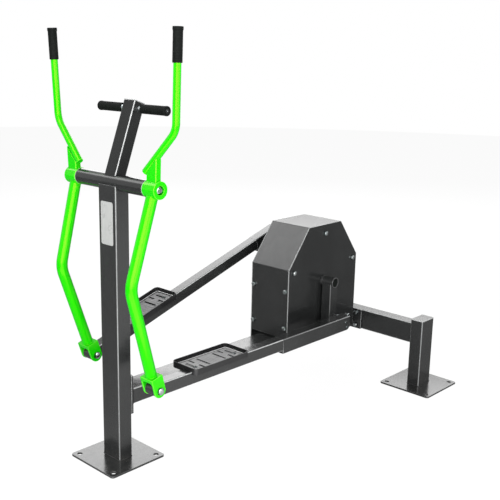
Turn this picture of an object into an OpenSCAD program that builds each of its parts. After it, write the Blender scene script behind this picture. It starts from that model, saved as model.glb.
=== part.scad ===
// Outdoor cross trainer: two hand levers on a post, two pedal arms and a crank in a housing.
// X runs across the machine, Y from the front post to the housing, Z up; the origin is the
// underside centre of the front base plate.

/* [Frame tube] */
// Wide side of the frame tube
tube_w = 100; // [92:1:110]
// Narrow side of the frame tube
tube_d = 63; // [60:1:66]
// Wall of the frame tube
tube_wall = 4; // [3:0.5:5]

/* [Base plates] */
// Distance from a ground bolt hole to the plate's edge
hole_margin = 25; // [20:1:35]
// Thickness of each base plate
plate_t = 8; // [6:1:12]
// Spacing of the ground bolt holes
hole_spacing = 210; // [190:5:215]
// Diameter of the ground bolt holes
ground_hole_d = 20; // [16:1:24]
// Corner radius of the base plates
plate_corner_r = 12; // [6:1:18]

/* [Frame layout] */
// Height of the lever axis over the ground
hub_height = 1080; // [1070:1:1100]
// How far the front post stops under the lever axis
saddle_drop = 8; // [4:1:12]
// Sideways distance to the rear post
rear_post_x = 422; // [400:1:460]
// Distance from the front post to the rear post
rear_post_y = 1494; // [1480:1:1540]
// Height of the rear post
rear_post_h = 328; // [315:1:350]
// Height of the middle of the two beams
beam_axis_h = 253; // [245:1:260]

/* [Flanges] */
// Height of the front flange
front_flange_h = 156; // [150:1:170]
// Thickness of the flanges
flange_t = 9; // [7:1:10]
// Width of the rear flange
rear_flange_w = 210; // [200:1:224]
// Diameter of the flange bolts
flange_bolt_d = 12; // [10:1:14]

/* [Cross tube] */
// Outside diameter of the cross tube
cross_d = 60; // [56:1:62]
// Wall of the cross tube
cross_wall = 4; // [3:0.5:5]
// Length of the cross tube
cross_l = 381; // [370:1:390]
// Diameter of the lever axle
axle_d = 25; // [22:1:26]

/* [Upper post] */
// Length of the upper post from the lever axis
upper_post_l = 303; // [290:1:330]
// Depth of the upper post
upper_post_d = 50; // [46:1:54]
// Lean of the upper post towards the rider
upper_post_lean = 20; // [16:1:24]
// Distance of the fixed grip bar from the lever axis
grip_bar_l = 276; // [262:1:280]
// Diameter of the fixed grip bar
grip_bar_d = 25; // [22:1:28]
// Whole width of the fixed grip bar with its grips
grip_bar_w = 374; // [350:2:390]
// Length of each grip on the fixed bar
bar_grip_l = 132; // [115:1:135]
// Outside diameter of the rubber grips
grip_d = 34; // [32:1:38]

/* [Hand levers] */
// Outside diameter of the lever hub
hub_d = 64; // [62:1:68]
// Length of the lever hub
hub_l = 64; // [62:1:68]
// Outside diameter of the lower lever tube
lower_tube_d = 43; // [40:1:45]
// How far the lower tube bends forward of the axis
lever_bend_y = 100; // [85:1:110]
// How far the bend lies under the axis
lever_bend_drop = 340; // [320:1:360]
// Bend radius of the lower tube
lever_bend_r = 110; // [90:1:130]
// How far the pedal arm pin lies under the axis
pin_drop = 730; // [728:1:740]
// How far the pedal arm pin lies behind the axis
pin_back = 16; // [10:1:20]
// Outside diameter of the upper lever tube
upper_tube_d = 27; // [25:1:30]
// How far a hand grip stands outside the middle of the flat upright
hand_reach = 98; // [92:1:110]
// Turn of the bent upper tube about the upright
upper_turn = 5; // [0:1:8]
// Slope of the upper tube before it turns upright
upper_slope = 47.2; // [44:0.2:50]
// Height over the axis at which the two straight runs of the upper tube would meet
upper_bend_h = 205; // [200:1:215]
// Bend radius of the upper tube
upper_bend_r = 75; // [60:1:90]
// Height of the hand grip's top over the axis
hand_top = 541; // [500:1:580]
// Length of a hand grip
hand_grip_l = 115; // [105:1:130]

/* [Pedal arms] */
// Distance between the two pivots of a pedal arm
arm_l = 1131; // [1128:1:1134]
// Side of the square arm tube
arm_w = 50; // [46:1:50]
// Wall of the arm tube
arm_wall = 3; // [2.5:0.5:4]
// Height of the deeper rear section of an arm
bracket_h = 64; // [58:1:70]
// Length of the deeper rear section of an arm
bracket_l = 471; // [440:1:500]
// Length of that section on the left arm, where it starts beside the housing
left_bracket_l = 160; // [150:1:471]
// Diameter of the arm's front pin
pin_d = 16; // [14:1:18]

/* [Pedals] */
// Length of a pedal tray
pedal_l = 295; // [280:1:310]
// Width of a pedal tray
pedal_w = 136; // [128:1:140]
// Height of a pedal tray
pedal_h = 16; // [14:1:20]
// How far the edge of a pedal tray hangs down beside its arm
pedal_hem_h = 9; // [5:1:12]
// Distance from the front pivot to the pedal tray
pedal_start = 164; // [150:1:175]
// How far the tray is set off towards the left of its arm
pedal_shift = 21; // [18:1:24]

/* [Crank] */
// Distance from the front post to the crank axis
crank_y = 1128; // [1126:1:1131]
// Height of the crank axis
crank_h = 520; // [516:1:524]
// Radius of the crank
crank_r = 173; // [170:1:175]
// Side of the square crank arm
crank_w = 50; // [46:1:54]
// Diameter of the crank shaft
shaft_d = 40; // [36:1:42]
// Diameter of the flywheel
flywheel_d = 360; // [300:5:380]

/* [Housing] */
// Length of the housing
housing_l = 500; // [490:2:520]
// Width of the housing over its covers
housing_w = 219; // [215:1:221]
// Length of the flat top of the housing
housing_top_l = 232; // [220:2:250]
// How far the top of the housing rises over the crank axis
housing_rise = 262; // [245:1:280]
// How far over the crank axis the slanted faces begin
waist_rise = 87; // [80:1:100]
// How far the side covers reach down over the beam
cover_overlap = 44.5; // [30:0.5:54]
// Thickness of the side covers
cover_t = 4; // [3:0.5:5]

/* [Label] */
// Width of the blank plate on the front post
label_w = 68; // [60:1:80]
// Height of the blank plate on the front post
label_h = 160; // [140:1:170]
// How far the middle of the blank plate lies under the top of the post
label_drop = 140; // [120:1:170]

/* [Hidden] */
$fn = 64;
overrun = 1;
running_fit = 0.05;
weld_gap = 0.1;
seat_gap = 0.3;
bend_overlap = 1;
bend_step = 0.06;
axis_turn = 90;

// Seen places of the frame
plate_side = hole_spacing + 2 * hole_margin;
post_top = hub_height - saddle_drop;
label_z = post_top - label_drop;
beam_top = beam_axis_h + tube_d / 2;
beam_start = tube_d / 2 + flange_t;
rear_beam_front = rear_post_y - tube_d / 2;
beam_end = rear_beam_front - flange_t;
cap_t = 4;

// Flange bolts: places, heads, washers and nuts
front_flange_lift = 7;
front_flange_mid = beam_axis_h + front_flange_lift;
front_bolt_x = 30;
front_bolt_margin = 13;
rear_bolt_margin = 30;
rear_bolt_rise = 33;
bolt_head_share = 0.65;
bolt_across_share = 1.6;
washer_d_share = 2.1;
washer_t = 2;
bolt_grip_past = 4;

// Lever axle end and hub recess
axle_reach = 52.5;
axle_step_x = cross_l / 2 + axle_reach;
thread_d = 16;
thread_l = 10;
nut_across = 24;
nut_h = 8;
axle_washer_d = 30;
axle_washer_t = 3;
thrust_t = 2;
cross_end_t = 8;
hub_bore_d = 32;
hub_in = cross_l / 2 + thrust_t + seat_gap;
hub_out = hub_in + hub_l;
bush_end = axle_step_x - seat_gap;

// Upright that carries the upper lever tube
upright_w = 50;
upright_d = 25;
upright_wall = 3;
upright_y = -5;
upright_out = hub_out - 6.5;
upright_mid = upright_out - upright_w / 2;
upper_tube_y = -4;
upper_tube_wall = 2.5;
upper_run = 203;
weld_sink = 2.5;
upright_top =
    upper_bend_h - (hand_reach - upright_w / 2) * tan(upper_slope)
    - upper_tube_d / 2 / cos(upper_slope) + weld_sink;
lower_tube_wall = 3.5;
grip_flare_d = grip_d + 2.5;
grip_flare_l = 12;
grip_end_t = 5;

// Clevis at the foot of a lever
arm_x = 221.5;
ear_t = 8;
ear_r = 26;
clevis_gap = arm_w + 1;
clevis_w = clevis_gap + 2 * ear_t;
clevis_top = 57;
arch_top = 42;
arch_r = 10;
pin_washer_d = 28;
pin_across = 24;
pin_head_h = 9;

// Pedal arm
bush_d = 48;
bush_w = arm_w - 1;
beam_front = 14;
bracket_wall = 4;
bracket_corner_r = 24;
bracket_past = 33;
bearing_flange_d = 52;
bearing_d = 44;
bearing_flange_t = 2;
bearing_depth = 20;
arm_bolt_d = 8;
lower_bolt_y = 10;
lower_bolt_z = 24;

// Pedal tray
pedal_corner_r = 18;
rim_t = 2.6;
floor_t = 3;
ledge_w = 4;
ledge_drop = 12.6;
hem_gap = 1;
tread_h = 1.5;
tread_w = 4;
tread_count = 11;
tread_l_share = 0.55;
pedal_bolt_d = 8;
pedal_bolt_head_h = 4;
pedal_bolt_share = 0.36;

// Crank and what turns with it
crank_in = housing_w / 2 + 11.5;
crank_out = crank_in + crank_w;
crank_wall = 4;
crank_hub_d = 48;
crank_hub_in = housing_w / 2 + 0.8;
crank_hub_out = crank_out + 7;
shaft_end = crank_hub_out - 10;
crank_cap_t = 6;
crank_past = 25;
boss_d = 46;
journal_d = 30;
journal_end = arm_x - arm_w / 2 - bearing_flange_t - 1;
boss_end = journal_end - 8;
flywheel_rim_w = 34;
flywheel_rim_t = 30;
flywheel_web_t = 10;
flywheel_hub_d = 80;
flywheel_hub_w = 44;

// Housing
housing_top_h = crank_h + housing_rise;
housing_waist_h = crank_h + waist_rise;
cover_low_h = beam_top - cover_overlap;
shell_half = housing_w / 2 - cover_t;
shell_t = 3;
backing_w = 28;
base_t = 6;
base_inset = 10;
base_w_inset = 5;
shell_low = beam_top + base_t;
stand_t = 10;
stand_w = 120;
stand_x = 80;
stand_boss_d = 84;
stand_boss_w = 22;
bearing_outer_d = 62;
seal_d = shaft_d + 4;
cover_bolt_d = 10;
cover_bolt_inset = 34;
cover_bolt_low = 16;
cover_bolt_top = 42;
shell_bolt_inset = 16;
shell_bolt_low_h = 339;
shell_bolt_rise = 170;
label_t = 1.5;
label_r = 8;

// Outline of the housing seen from the side, with the height of its lower edge
function housing_points(low) = [
    [crank_y - housing_l / 2, low],
    [crank_y + housing_l / 2, low],
    [crank_y + housing_l / 2, housing_waist_h],
    [crank_y + housing_top_l / 2, housing_top_h],
    [crank_y - housing_top_l / 2, housing_top_h],
    [crank_y - housing_l / 2, housing_waist_h]
];

// Outward normal and distance of the outline's side that starts at point i
function side_normal(p, i) =
    let (d = p[(i + 1) % len(p)] - p[i]) [d.y, -d.x] / norm(d);
function inset_corner(p, i, inset) =
    let (
        n1 = side_normal(p, (i + len(p) - 1) % len(p)),
        n2 = side_normal(p, i)
    )
    p[i] - inset * (n1 + n2) / (1 + n1 * n2);
function inset_outline(p, inset) = [for (i = [0 : len(p) - 1]) inset_corner(p, i, inset)];

// Angle from straight down to the lever pin that puts a crank pin at [y, z] on its arm
lever_r = norm([pin_back, pin_drop]);
function pin_swing(y, z) =
    let (reach = norm([y, hub_height - z]))
    atan2(y, hub_height - z)
    - acos((lever_r ^ 2 + reach ^ 2 - arm_l ^ 2) / (2 * lever_r * reach));
function pin_y(swing) = lever_r * sin(swing);
function pin_z(swing) = hub_height - lever_r * cos(swing);

// The right crank stands straight down and the left one straight up
right_swing = pin_swing(crank_y, crank_h - crank_r);
left_swing = pin_swing(crank_y, crank_h + crank_r);
own_swing = atan2(pin_back, pin_drop);
right_slope = atan2(crank_h - crank_r - pin_z(right_swing), crank_y - pin_y(right_swing));
left_slope = atan2(crank_h + crank_r - pin_z(left_swing), crank_y - pin_y(left_swing));

// Legs of the lower lever tube
upper_leg_l = norm([lever_bend_y, lever_bend_drop]);
upper_leg_lean = atan2(lever_bend_y, lever_bend_drop);
lower_leg_l = norm([lever_bend_y + pin_back, pin_drop - lever_bend_drop]);
lower_leg_lean = atan2(lever_bend_y + pin_back, pin_drop - lever_bend_drop);

// Shapes that repeat

// A cylinder along X from x1 to x2
module rod_x(d, x1, x2) {
    translate([x1, 0, 0]) rotate([0, axis_turn, 0]) cylinder(d = d, h = x2 - x1);
}

// A ring along X from x1 to x2
module ring_x(d, bore, x1, x2) {
    difference() {
        rod_x(d, x1, x2);
        rod_x(bore, x1 - overrun, x2 + overrun);
    }
}

// A hexagon along X from x1 to x2, by its width across flats
module hex_x(across, x1, x2) {
    translate([x1, 0, 0]) rotate([0, axis_turn, 0])
        cylinder(d = across / cos(180 / 6), h = x2 - x1, $fn = 6);
}

// A rectangular tube along Z, w along X and d along Y
module box_tube(w, d, wall, h) {
    difference() {
        translate([-w / 2, -d / 2, 0]) cube([w, d, h]);
        translate([wall - w / 2, wall - d / 2, -overrun])
            cube([w - 2 * wall, d - 2 * wall, h + 2 * overrun]);
    }
}

// A flat rectangle with round corners
module round_rect(w, l, r) {
    square([w - 2 * r, l], center = true);
    square([w, l - 2 * r], center = true);
    for (sx = [-1, 1], sy = [-1, 1])
        translate([sx * (w / 2 - r), sy * (l / 2 - r)]) circle(r);
}

// A rod with one bend in the XY plane: its two legs meet at the origin, one from -X.
// The legs are a hair thicker than the bend, so that their faces don't run into each other.
module bent_rod(leg_a, leg_b, turn, bend_r, d) {
    tangent = bend_r * tan(turn / 2);
    leg_end = tangent - bend_overlap;
    leg_d = d + bend_step;
    translate([-leg_a, 0, 0]) rotate([0, axis_turn, 0]) cylinder(d = leg_d, h = leg_a - leg_end);
    translate([-tangent, bend_r, 0]) rotate([0, 0, -axis_turn])
        rotate_extrude(angle = turn) translate([bend_r, 0]) circle(d = d);
    rotate([0, 0, turn]) translate([leg_end, 0, 0]) rotate([0, axis_turn, 0])
        cylinder(d = leg_d, h = leg_b - leg_end);
}

// The same rod as a tube open at both ends
module bent_tube(leg_a, leg_b, turn, bend_r, d, wall) {
    difference() {
        bent_rod(leg_a, leg_b, turn, bend_r, d);
        bent_rod(leg_a + overrun, leg_b + overrun, turn, bend_r, d - 2 * wall);
    }
}

// A hex bolt along +X: washer and head lie at x < 0, the shank ends in a nut that starts at grip
module through_bolt(d, grip) {
    across = bolt_across_share * d;
    rod_x(washer_d_share * d, -washer_t, 0);
    hex_x(across, -washer_t - bolt_head_share * d, -washer_t);
    rod_x(d, -washer_t, grip + bolt_head_share * d + bolt_grip_past);
    hex_x(across, grip, grip + bolt_head_share * d);
}

module base_plate() {
    difference() {
        linear_extrude(plate_t) round_rect(plate_side, plate_side, plate_corner_r);
        for (sx = [-1, 1], sy = [-1, 1])
            translate([sx * hole_spacing / 2, sy * hole_spacing / 2, -overrun])
                cylinder(d = ground_hole_d, h = plate_t + 2 * overrun);
    }
}

// Frame

module front_base_plate() {
    color("dimgray") base_plate();
}

module rear_base_plate() {
    color("dimgray") translate([rear_post_x, rear_post_y, 0]) base_plate();
}

module front_post() {
    color("dimgray") difference() {
        translate([0, 0, plate_t]) box_tube(tube_w, tube_d, tube_wall, post_top - plate_t);
        translate([0, 0, hub_height])
            rod_x(cross_d + 2 * weld_gap, -tube_w, tube_w);
        at_front_bolts() rod_x(flange_bolt_d + 2 * running_fit, -overrun, 2 * flange_t);
    }
}

module rear_post() {
    color("dimgray") translate([rear_post_x, rear_post_y, plate_t])
        box_tube(tube_d, tube_w, tube_wall, rear_post_h - plate_t - cap_t);
}

module rear_caps() {
    color("dimgray") {
        translate([rear_post_x - tube_d / 2, rear_post_y - tube_w / 2, rear_post_h - cap_t])
            cube([tube_d, tube_w, cap_t]);
        translate([-rear_flange_w / 2 - cap_t, rear_beam_front, beam_axis_h - tube_w / 2])
            cube([cap_t, tube_d, tube_w]);
    }
}

module main_beam() {
    color("dimgray") translate([0, beam_start, beam_axis_h]) rotate([-axis_turn, 0, 0])
        box_tube(tube_w, tube_d, tube_wall, beam_end - beam_start);
}

// Places of the front flange's bolts, each with X running back out of the post
module at_front_bolts() {
    for (sx = [-1, 1], sz = [-1, 1])
        translate([
            sx * front_bolt_x,
            tube_d / 2 + flange_t,
            front_flange_mid + sz * (front_flange_h / 2 - front_bolt_margin)
        ])
            rotate([0, 0, -axis_turn]) children();
}

// Places of the rear flange's bolts, each with X running back into the rear beam
module at_rear_bolts() {
    for (sx = [-1, 1], sz = [-1, 1])
        translate([
            sx * (rear_flange_w / 2 - rear_bolt_margin),
            beam_end,
            beam_axis_h + sz * rear_bolt_rise
        ])
            rotate([0, 0, axis_turn]) children();
}

module front_flange() {
    color("dimgray") difference() {
        translate([-tube_w / 2, tube_d / 2, front_flange_mid - front_flange_h / 2])
            cube([tube_w, flange_t, front_flange_h]);
        at_front_bolts() rod_x(flange_bolt_d + 2 * running_fit, -overrun, 2 * flange_t);
    }
}

module rear_flange() {
    color("dimgray") difference() {
        translate([-rear_flange_w / 2, beam_end, beam_axis_h - tube_w / 2])
            cube([rear_flange_w, flange_t, tube_w]);
        at_rear_bolts() rod_x(flange_bolt_d + 2 * running_fit, -overrun, 2 * flange_t);
    }
}

module flange_bolts() {
    color("silver") {
        at_front_bolts() through_bolt(flange_bolt_d, flange_t + tube_wall);
        at_rear_bolts() through_bolt(flange_bolt_d, flange_t + tube_d);
    }
}

module rear_beam() {
    color("dimgray") difference() {
        translate([-rear_flange_w / 2, rear_post_y, beam_axis_h]) rotate([0, axis_turn, 0])
            box_tube(tube_w, tube_d, tube_wall, rear_post_x - tube_d / 2 + rear_flange_w / 2);
        at_rear_bolts()
            rod_x(flange_bolt_d + 2 * running_fit, 0, flange_t + tube_d + overrun);
    }
}

// Lever axis and upper post

module cross_tube() {
    color("dimgray") translate([0, 0, hub_height]) difference() {
        rod_x(cross_d, -cross_l / 2, cross_l / 2);
        rod_x(cross_d - 2 * cross_wall, cross_end_t - cross_l / 2, cross_l / 2 - cross_end_t);
        rod_x(axle_d + 2 * running_fit, -cross_l, cross_l);
    }
}

module lever_axle() {
    color("silver") translate([0, 0, hub_height]) {
        rod_x(axle_d, -axle_step_x, axle_step_x);
        rod_x(thread_d, -axle_step_x - thread_l, axle_step_x + thread_l);
    }
}

module thrust_washers() {
    color("dimgray") translate([0, 0, hub_height]) for (s = [0, 1]) mirror([s, 0, 0])
        ring_x(cross_d, axle_d + 2 * running_fit, cross_l / 2, cross_l / 2 + thrust_t);
}

module axle_nuts() {
    color("silver") translate([0, 0, hub_height]) for (s = [0, 1]) mirror([s, 0, 0])
        translate([axle_step_x, 0, 0]) difference() {
            union() {
                rod_x(axle_washer_d, 0, axle_washer_t);
                hex_x(nut_across, axle_washer_t, axle_washer_t + nut_h);
            }
            rod_x(thread_d + 2 * running_fit, -overrun, thread_l + running_fit);
        }
}

// Children in the leaning frame of the upper post, with Z along it
module on_upper_post() {
    translate([0, 0, hub_height]) rotate([-upper_post_lean, 0, 0]) children();
}

module upper_post() {
    color("dimgray") on_upper_post() difference() {
        box_tube(tube_d, upper_post_d, tube_wall, upper_post_l - cap_t);
        rod_x(cross_d + 2 * weld_gap, -tube_w, tube_w);
        translate([0, 0, grip_bar_l]) rod_x(grip_bar_d + 2 * running_fit, -tube_w, tube_w);
    }
}

module upper_post_cap() {
    color("dimgray") on_upper_post()
        translate([-tube_d / 2, -upper_post_d / 2, upper_post_l - cap_t])
            cube([tube_d, upper_post_d, cap_t]);
}

module grip_bar() {
    bar_half = grip_bar_w / 2 - grip_end_t;
    color("dimgray") on_upper_post() translate([0, 0, grip_bar_l])
        ring_x(grip_bar_d, grip_bar_d - 2 * upper_tube_wall, -bar_half, bar_half);
}

// A rubber grip along X that ends at x_end, with its bore closed at that end
module rubber_grip(bar_d, x_start, x_end) {
    difference() {
        rod_x(grip_d, x_start, x_end);
        rod_x(bar_d + 2 * running_fit, x_start - overrun, x_end - grip_end_t);
    }
}

module bar_grip() {
    on_upper_post() translate([0, 0, grip_bar_l])
        rubber_grip(grip_bar_d, grip_bar_w / 2 - bar_grip_l, grip_bar_w / 2);
}

module bar_grip_right() {
    color("black") bar_grip();
}

module bar_grip_left() {
    color("black") mirror([1, 0, 0]) bar_grip();
}

module label_plate() {
    color("white") translate([0, -tube_d / 2, label_z]) rotate([axis_turn, 0, 0])
        linear_extrude(label_t) round_rect(label_w, label_h, label_r);
}

// Housing

// A flat outline in Y and Z, as thick as x2 - x1 along X
module side_slab(points, x1, x2) {
    translate([x1, 0, 0]) rotate([axis_turn, 0, axis_turn])
        linear_extrude(x2 - x1) polygon(points);
}

module at_crank() {
    translate([0, crank_y, crank_h]) children();
}

module cover() {
    difference() {
        side_slab(housing_points(cover_low_h), shell_half, shell_half + cover_t);
        at_crank() rod_x(seal_d, 0, housing_w);
        at_cover_bolts() rod_x(cover_bolt_d + 2 * running_fit, -overrun, backing_w);
    }
}

module cover_right() {
    color("dimgray") cover();
}

module cover_left() {
    color("dimgray") mirror([1, 0, 0]) cover();
}

// Places of the right cover's bolts, each with X running into the housing
module at_cover_bolts() {
    side_y = housing_l / 2 - cover_bolt_inset;
    low_z = shell_low + cover_bolt_low;
    high_z = housing_waist_h - cover_bolt_low;
    places = [
        [0, housing_top_h - cover_bolt_top],
        [-side_y, high_z],
        [side_y, high_z],
        [-side_y + cover_bolt_low, low_z],
        [side_y - cover_bolt_low, low_z]
    ];
    for (p = places)
        translate([housing_w / 2, crank_y + p[0], p[1]]) rotate([0, 0, 2 * axis_turn])
            children();
}

module cover_bolts() {
    color("silver") for (s = [0, 1]) mirror([s, 0, 0])
        at_cover_bolts() through_bolt(cover_bolt_d, cover_t + shell_t);
}

// Places of the bolts in the upright front and rear sheets, with X running inwards
module at_shell_bolts() {
    for (turn = [0, 2 * axis_turn], sx = [-1, 1], up = [0, 1])
        translate([0, crank_y, shell_bolt_low_h + up * shell_bolt_rise]) rotate([0, 0, turn])
            translate([sx * (housing_w / 2 - shell_bolt_inset), -housing_l / 2, 0])
                rotate([0, 0, axis_turn]) children();
}

module shell_bolts() {
    color("silver") at_shell_bolts() through_bolt(cover_bolt_d, shell_t);
}

module housing_shell() {
    open_low = housing_points(shell_low - shell_t - overrun);
    color("dimgray") difference() {
        side_slab(housing_points(shell_low), -shell_half, shell_half);
        side_slab(inset_outline(open_low, shell_t), -shell_half - overrun, shell_half + overrun);
        at_shell_bolts() rod_x(cover_bolt_d + 2 * running_fit, -overrun, 2 * shell_t);
    }
}

// A square plate behind each cover bolt
module backing_plates() {
    color("dimgray") for (s = [0, 1]) mirror([s, 0, 0]) at_cover_bolts()
        translate([cover_t, 0, 0]) rotate([0, axis_turn, 0]) difference() {
            linear_extrude(shell_t) square(backing_w, center = true);
            translate([0, 0, -overrun])
                cylinder(d = cover_bolt_d + 2 * running_fit, h = shell_t + 2 * overrun);
        }
}

module housing_base() {
    base_half = shell_half - base_w_inset;
    color("dimgray")
        translate([-base_half, crank_y - housing_l / 2 + base_inset, beam_top])
            cube([2 * base_half, housing_l - 2 * base_inset, base_t]);
}

module bearing_stands() {
    color("dimgray") for (s = [0, 1]) mirror([s, 0, 0]) difference() {
        union() {
            translate([stand_x - stand_t / 2, crank_y - stand_w / 2, shell_low])
                cube([stand_t, stand_w, crank_h - shell_low]);
            at_crank() rod_x(stand_w, stand_x - stand_t / 2, stand_x + stand_t / 2);
            at_crank() rod_x(stand_boss_d, stand_x - stand_boss_w / 2, stand_x + stand_boss_w / 2);
        }
        at_crank() rod_x(bearing_outer_d, 0, housing_w);
    }
}

module shaft_bearings() {
    color("silver") at_crank() for (s = [0, 1]) mirror([s, 0, 0])
        ring_x(
            bearing_outer_d - 2 * running_fit,
            shaft_d + 2 * running_fit,
            stand_x - stand_boss_w / 2,
            stand_x + stand_boss_w / 2
        );
}

module shaft_seals() {
    color("black") at_crank() for (s = [0, 1]) mirror([s, 0, 0])
        ring_x(
            seal_d - 2 * running_fit,
            shaft_d + 2 * seat_gap,
            shell_half,
            shell_half + cover_t
        );
}

// Crank

module crank_shaft() {
    color("silver") at_crank() rod_x(shaft_d, -shaft_end, shaft_end);
}

module flywheel() {
    color("dimgray") at_crank() difference() {
        union() {
            ring_x(
                flywheel_d, flywheel_d - 2 * flywheel_rim_w,
                -flywheel_rim_t / 2, flywheel_rim_t / 2
            );
            rod_x(flywheel_d - flywheel_rim_w, -flywheel_web_t / 2, flywheel_web_t / 2);
            rod_x(flywheel_hub_d, -flywheel_hub_w / 2, flywheel_hub_w / 2);
        }
        rod_x(shaft_d + 2 * running_fit, -flywheel_d, flywheel_d);
    }
}

// The right crank arm, pointing along +Z from the crank axis
module crank_arm() {
    difference() {
        union() {
            rod_x(crank_hub_d, crank_hub_in, crank_hub_out);
            difference() {
                translate([crank_in, -crank_w / 2, 0])
                    cube([crank_w, crank_w, crank_r + crank_past]);
                translate([crank_in + crank_wall, crank_wall - crank_w / 2, 0])
                    cube([
                        crank_w - 2 * crank_wall,
                        crank_w - 2 * crank_wall,
                        crank_r + crank_past - crank_wall
                    ]);
            }
            translate([0, 0, crank_r]) rod_x(boss_d, crank_in + crank_wall / 2, boss_end);
            translate([0, 0, crank_r]) rod_x(journal_d, crank_in + crank_wall, journal_end);
        }
        rod_x(shaft_d + 2 * running_fit, crank_hub_in - overrun, crank_hub_out + overrun);
    }
}

module crank_arm_right() {
    color("dimgray") at_crank() rotate([2 * axis_turn, 0, 0]) crank_arm();
}

module crank_arm_left() {
    color("dimgray") at_crank() mirror([1, 0, 0]) crank_arm();
}

module crank_caps() {
    color("black") at_crank() for (s = [0, 1]) mirror([s, 0, 0])
        rod_x(shaft_d, shaft_end, shaft_end + crank_cap_t);
}

// Hand levers, drawn for the right side with the lever axis at the origin and the grips upright

// Children with Z along the upright run of the upper tube and X pointing outwards
module on_upper_tube() {
    translate([upright_mid, upper_tube_y, 0]) rotate([0, 0, upper_turn])
        translate([hand_reach, 0, 0]) children();
}

// Children with the upper tube's bend at the origin and its sloping run along X
module on_upper_run() {
    on_upper_tube() translate([0, 0, upper_bend_h]) rotate([axis_turn, 0, 0])
        rotate([0, 0, upper_slope]) children();
}

module lever_hub() {
    upright_in = upright_out - upright_w;
    low_top = upright_top - upright_w * tan(upper_slope);
    wall_lift = upright_wall * tan(upper_slope);
    difference() {
        union() {
            rod_x(hub_d, hub_in, hub_out);
            translate([0, upright_y + upright_d / 2, 0]) rotate([axis_turn, 0, 0])
                linear_extrude(upright_d) polygon([
                    [upright_in, 0],
                    [upright_out, 0],
                    [upright_out, upright_top],
                    [upright_in, low_top]
                ]);
        }
        translate([0, upright_y + upright_d / 2 - upright_wall, 0]) rotate([axis_turn, 0, 0])
            linear_extrude(upright_d - 2 * upright_wall) polygon([
                [upright_in + upright_wall, hub_d / 2],
                [upright_out - upright_wall, hub_d / 2],
                [upright_out - upright_wall, upright_top - wall_lift + overrun],
                [upright_in + upright_wall, low_top + wall_lift + overrun]
            ]);
        rod_x(hub_bore_d, hub_in - overrun, hub_out + overrun);
        on_upper_run() rod_x(upper_tube_d + 2 * weld_gap, -upper_run - overrun, 0);
    }
}

module lever_bush() {
    ring_x(hub_bore_d - 2 * running_fit, axle_d + 2 * running_fit, hub_in, bush_end);
}

module lower_tube() {
    difference() {
        translate([arm_x, -lever_bend_y, -lever_bend_drop])
            rotate([axis_turn, 0, axis_turn]) rotate([0, 0, -axis_turn - upper_leg_lean])
                bent_tube(
                    upper_leg_l,
                    lower_leg_l - clevis_top,
                    upper_leg_lean + lower_leg_lean,
                    lever_bend_r,
                    lower_tube_d,
                    lower_tube_wall
                );
        rod_x(hub_d + 2 * weld_gap, 0, 2 * hub_out);
    }
}

// Children with the pedal arm pin at the origin and Z along the lower leg
module on_clevis() {
    translate([arm_x, pin_back, -pin_drop]) rotate([lower_leg_lean, 0, 0]) children();
}

module clevis_slot() {
    translate([-clevis_gap / 2, -clevis_top]) square([clevis_gap, clevis_top + arch_top - arch_r]);
    translate([arch_r - clevis_gap / 2, 0]) square([clevis_gap - 2 * arch_r, arch_top]);
    for (s = [-1, 1])
        translate([s * (clevis_gap / 2 - arch_r), arch_top - arch_r]) circle(arch_r);
}

module clevis() {
    on_clevis() difference() {
        union() {
            translate([-clevis_w / 2, -ear_r, 0]) cube([clevis_w, 2 * ear_r, clevis_top]);
            rod_x(2 * ear_r, -clevis_w / 2, clevis_w / 2);
        }
        translate([0, clevis_top, 0]) rotate([axis_turn, 0, 0])
            linear_extrude(2 * clevis_top) clevis_slot();
        rod_x(pin_d + 2 * running_fit, -clevis_w, clevis_w);
    }
}

module clevis_pin() {
    half = clevis_w / 2;
    on_clevis() {
        rod_x(pin_d, -half - washer_t, half + washer_t);
        for (s = [0, 1]) mirror([s, 0, 0]) {
            rod_x(pin_washer_d, half, half + washer_t);
            hex_x(pin_across, half + washer_t, half + washer_t + pin_head_h);
        }
    }
}

module upper_tube() {
    tube_top = hand_top - grip_end_t;
    on_upper_run() bent_tube(
        upper_run,
        tube_top - upper_bend_h,
        axis_turn - upper_slope,
        upper_bend_r,
        upper_tube_d,
        upper_tube_wall
    );
}

module hand_grip() {
    on_upper_tube() translate([0, 0, hand_top]) rotate([0, axis_turn, 0]) difference() {
        union() {
            rod_x(grip_d, 0, hand_grip_l);
            rod_x(grip_flare_d, 0, grip_flare_l);
        }
        rod_x(upper_tube_d + 2 * running_fit, grip_end_t, hand_grip_l + overrun);
    }
}

// The right lever as drawn, and the left one mirrored, each turned to its rest place
module on_right_lever() {
    translate([0, 0, hub_height]) rotate([right_swing - own_swing, 0, 0]) children();
}

module on_left_lever() {
    translate([0, 0, hub_height]) rotate([left_swing - own_swing, 0, 0]) mirror([1, 0, 0])
        children();
}

module right_hub() {
    color("limegreen") on_right_lever() lever_hub();
}

module right_bush() {
    color("dimgray") on_right_lever() lever_bush();
}

module right_lower_tube() {
    color("limegreen") on_right_lever() lower_tube();
}

module right_clevis() {
    color("limegreen") on_right_lever() clevis();
}

module right_pin() {
    color("silver") on_right_lever() clevis_pin();
}

module right_upper_tube() {
    color("limegreen") on_right_lever() upper_tube();
}

module right_grip() {
    color("black") on_right_lever() hand_grip();
}

module left_hub() {
    color("limegreen") on_left_lever() lever_hub();
}

module left_bush() {
    color("dimgray") on_left_lever() lever_bush();
}

module left_lower_tube() {
    color("limegreen") on_left_lever() lower_tube();
}

module left_clevis() {
    color("limegreen") on_left_lever() clevis();
}

module left_pin() {
    color("silver") on_left_lever() clevis_pin();
}

module left_upper_tube() {
    color("limegreen") on_left_lever() upper_tube();
}

module left_grip() {
    color("black") on_left_lever() hand_grip();
}

// Pedal arms, drawn with the front pin at the origin and Y along the arm

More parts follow.
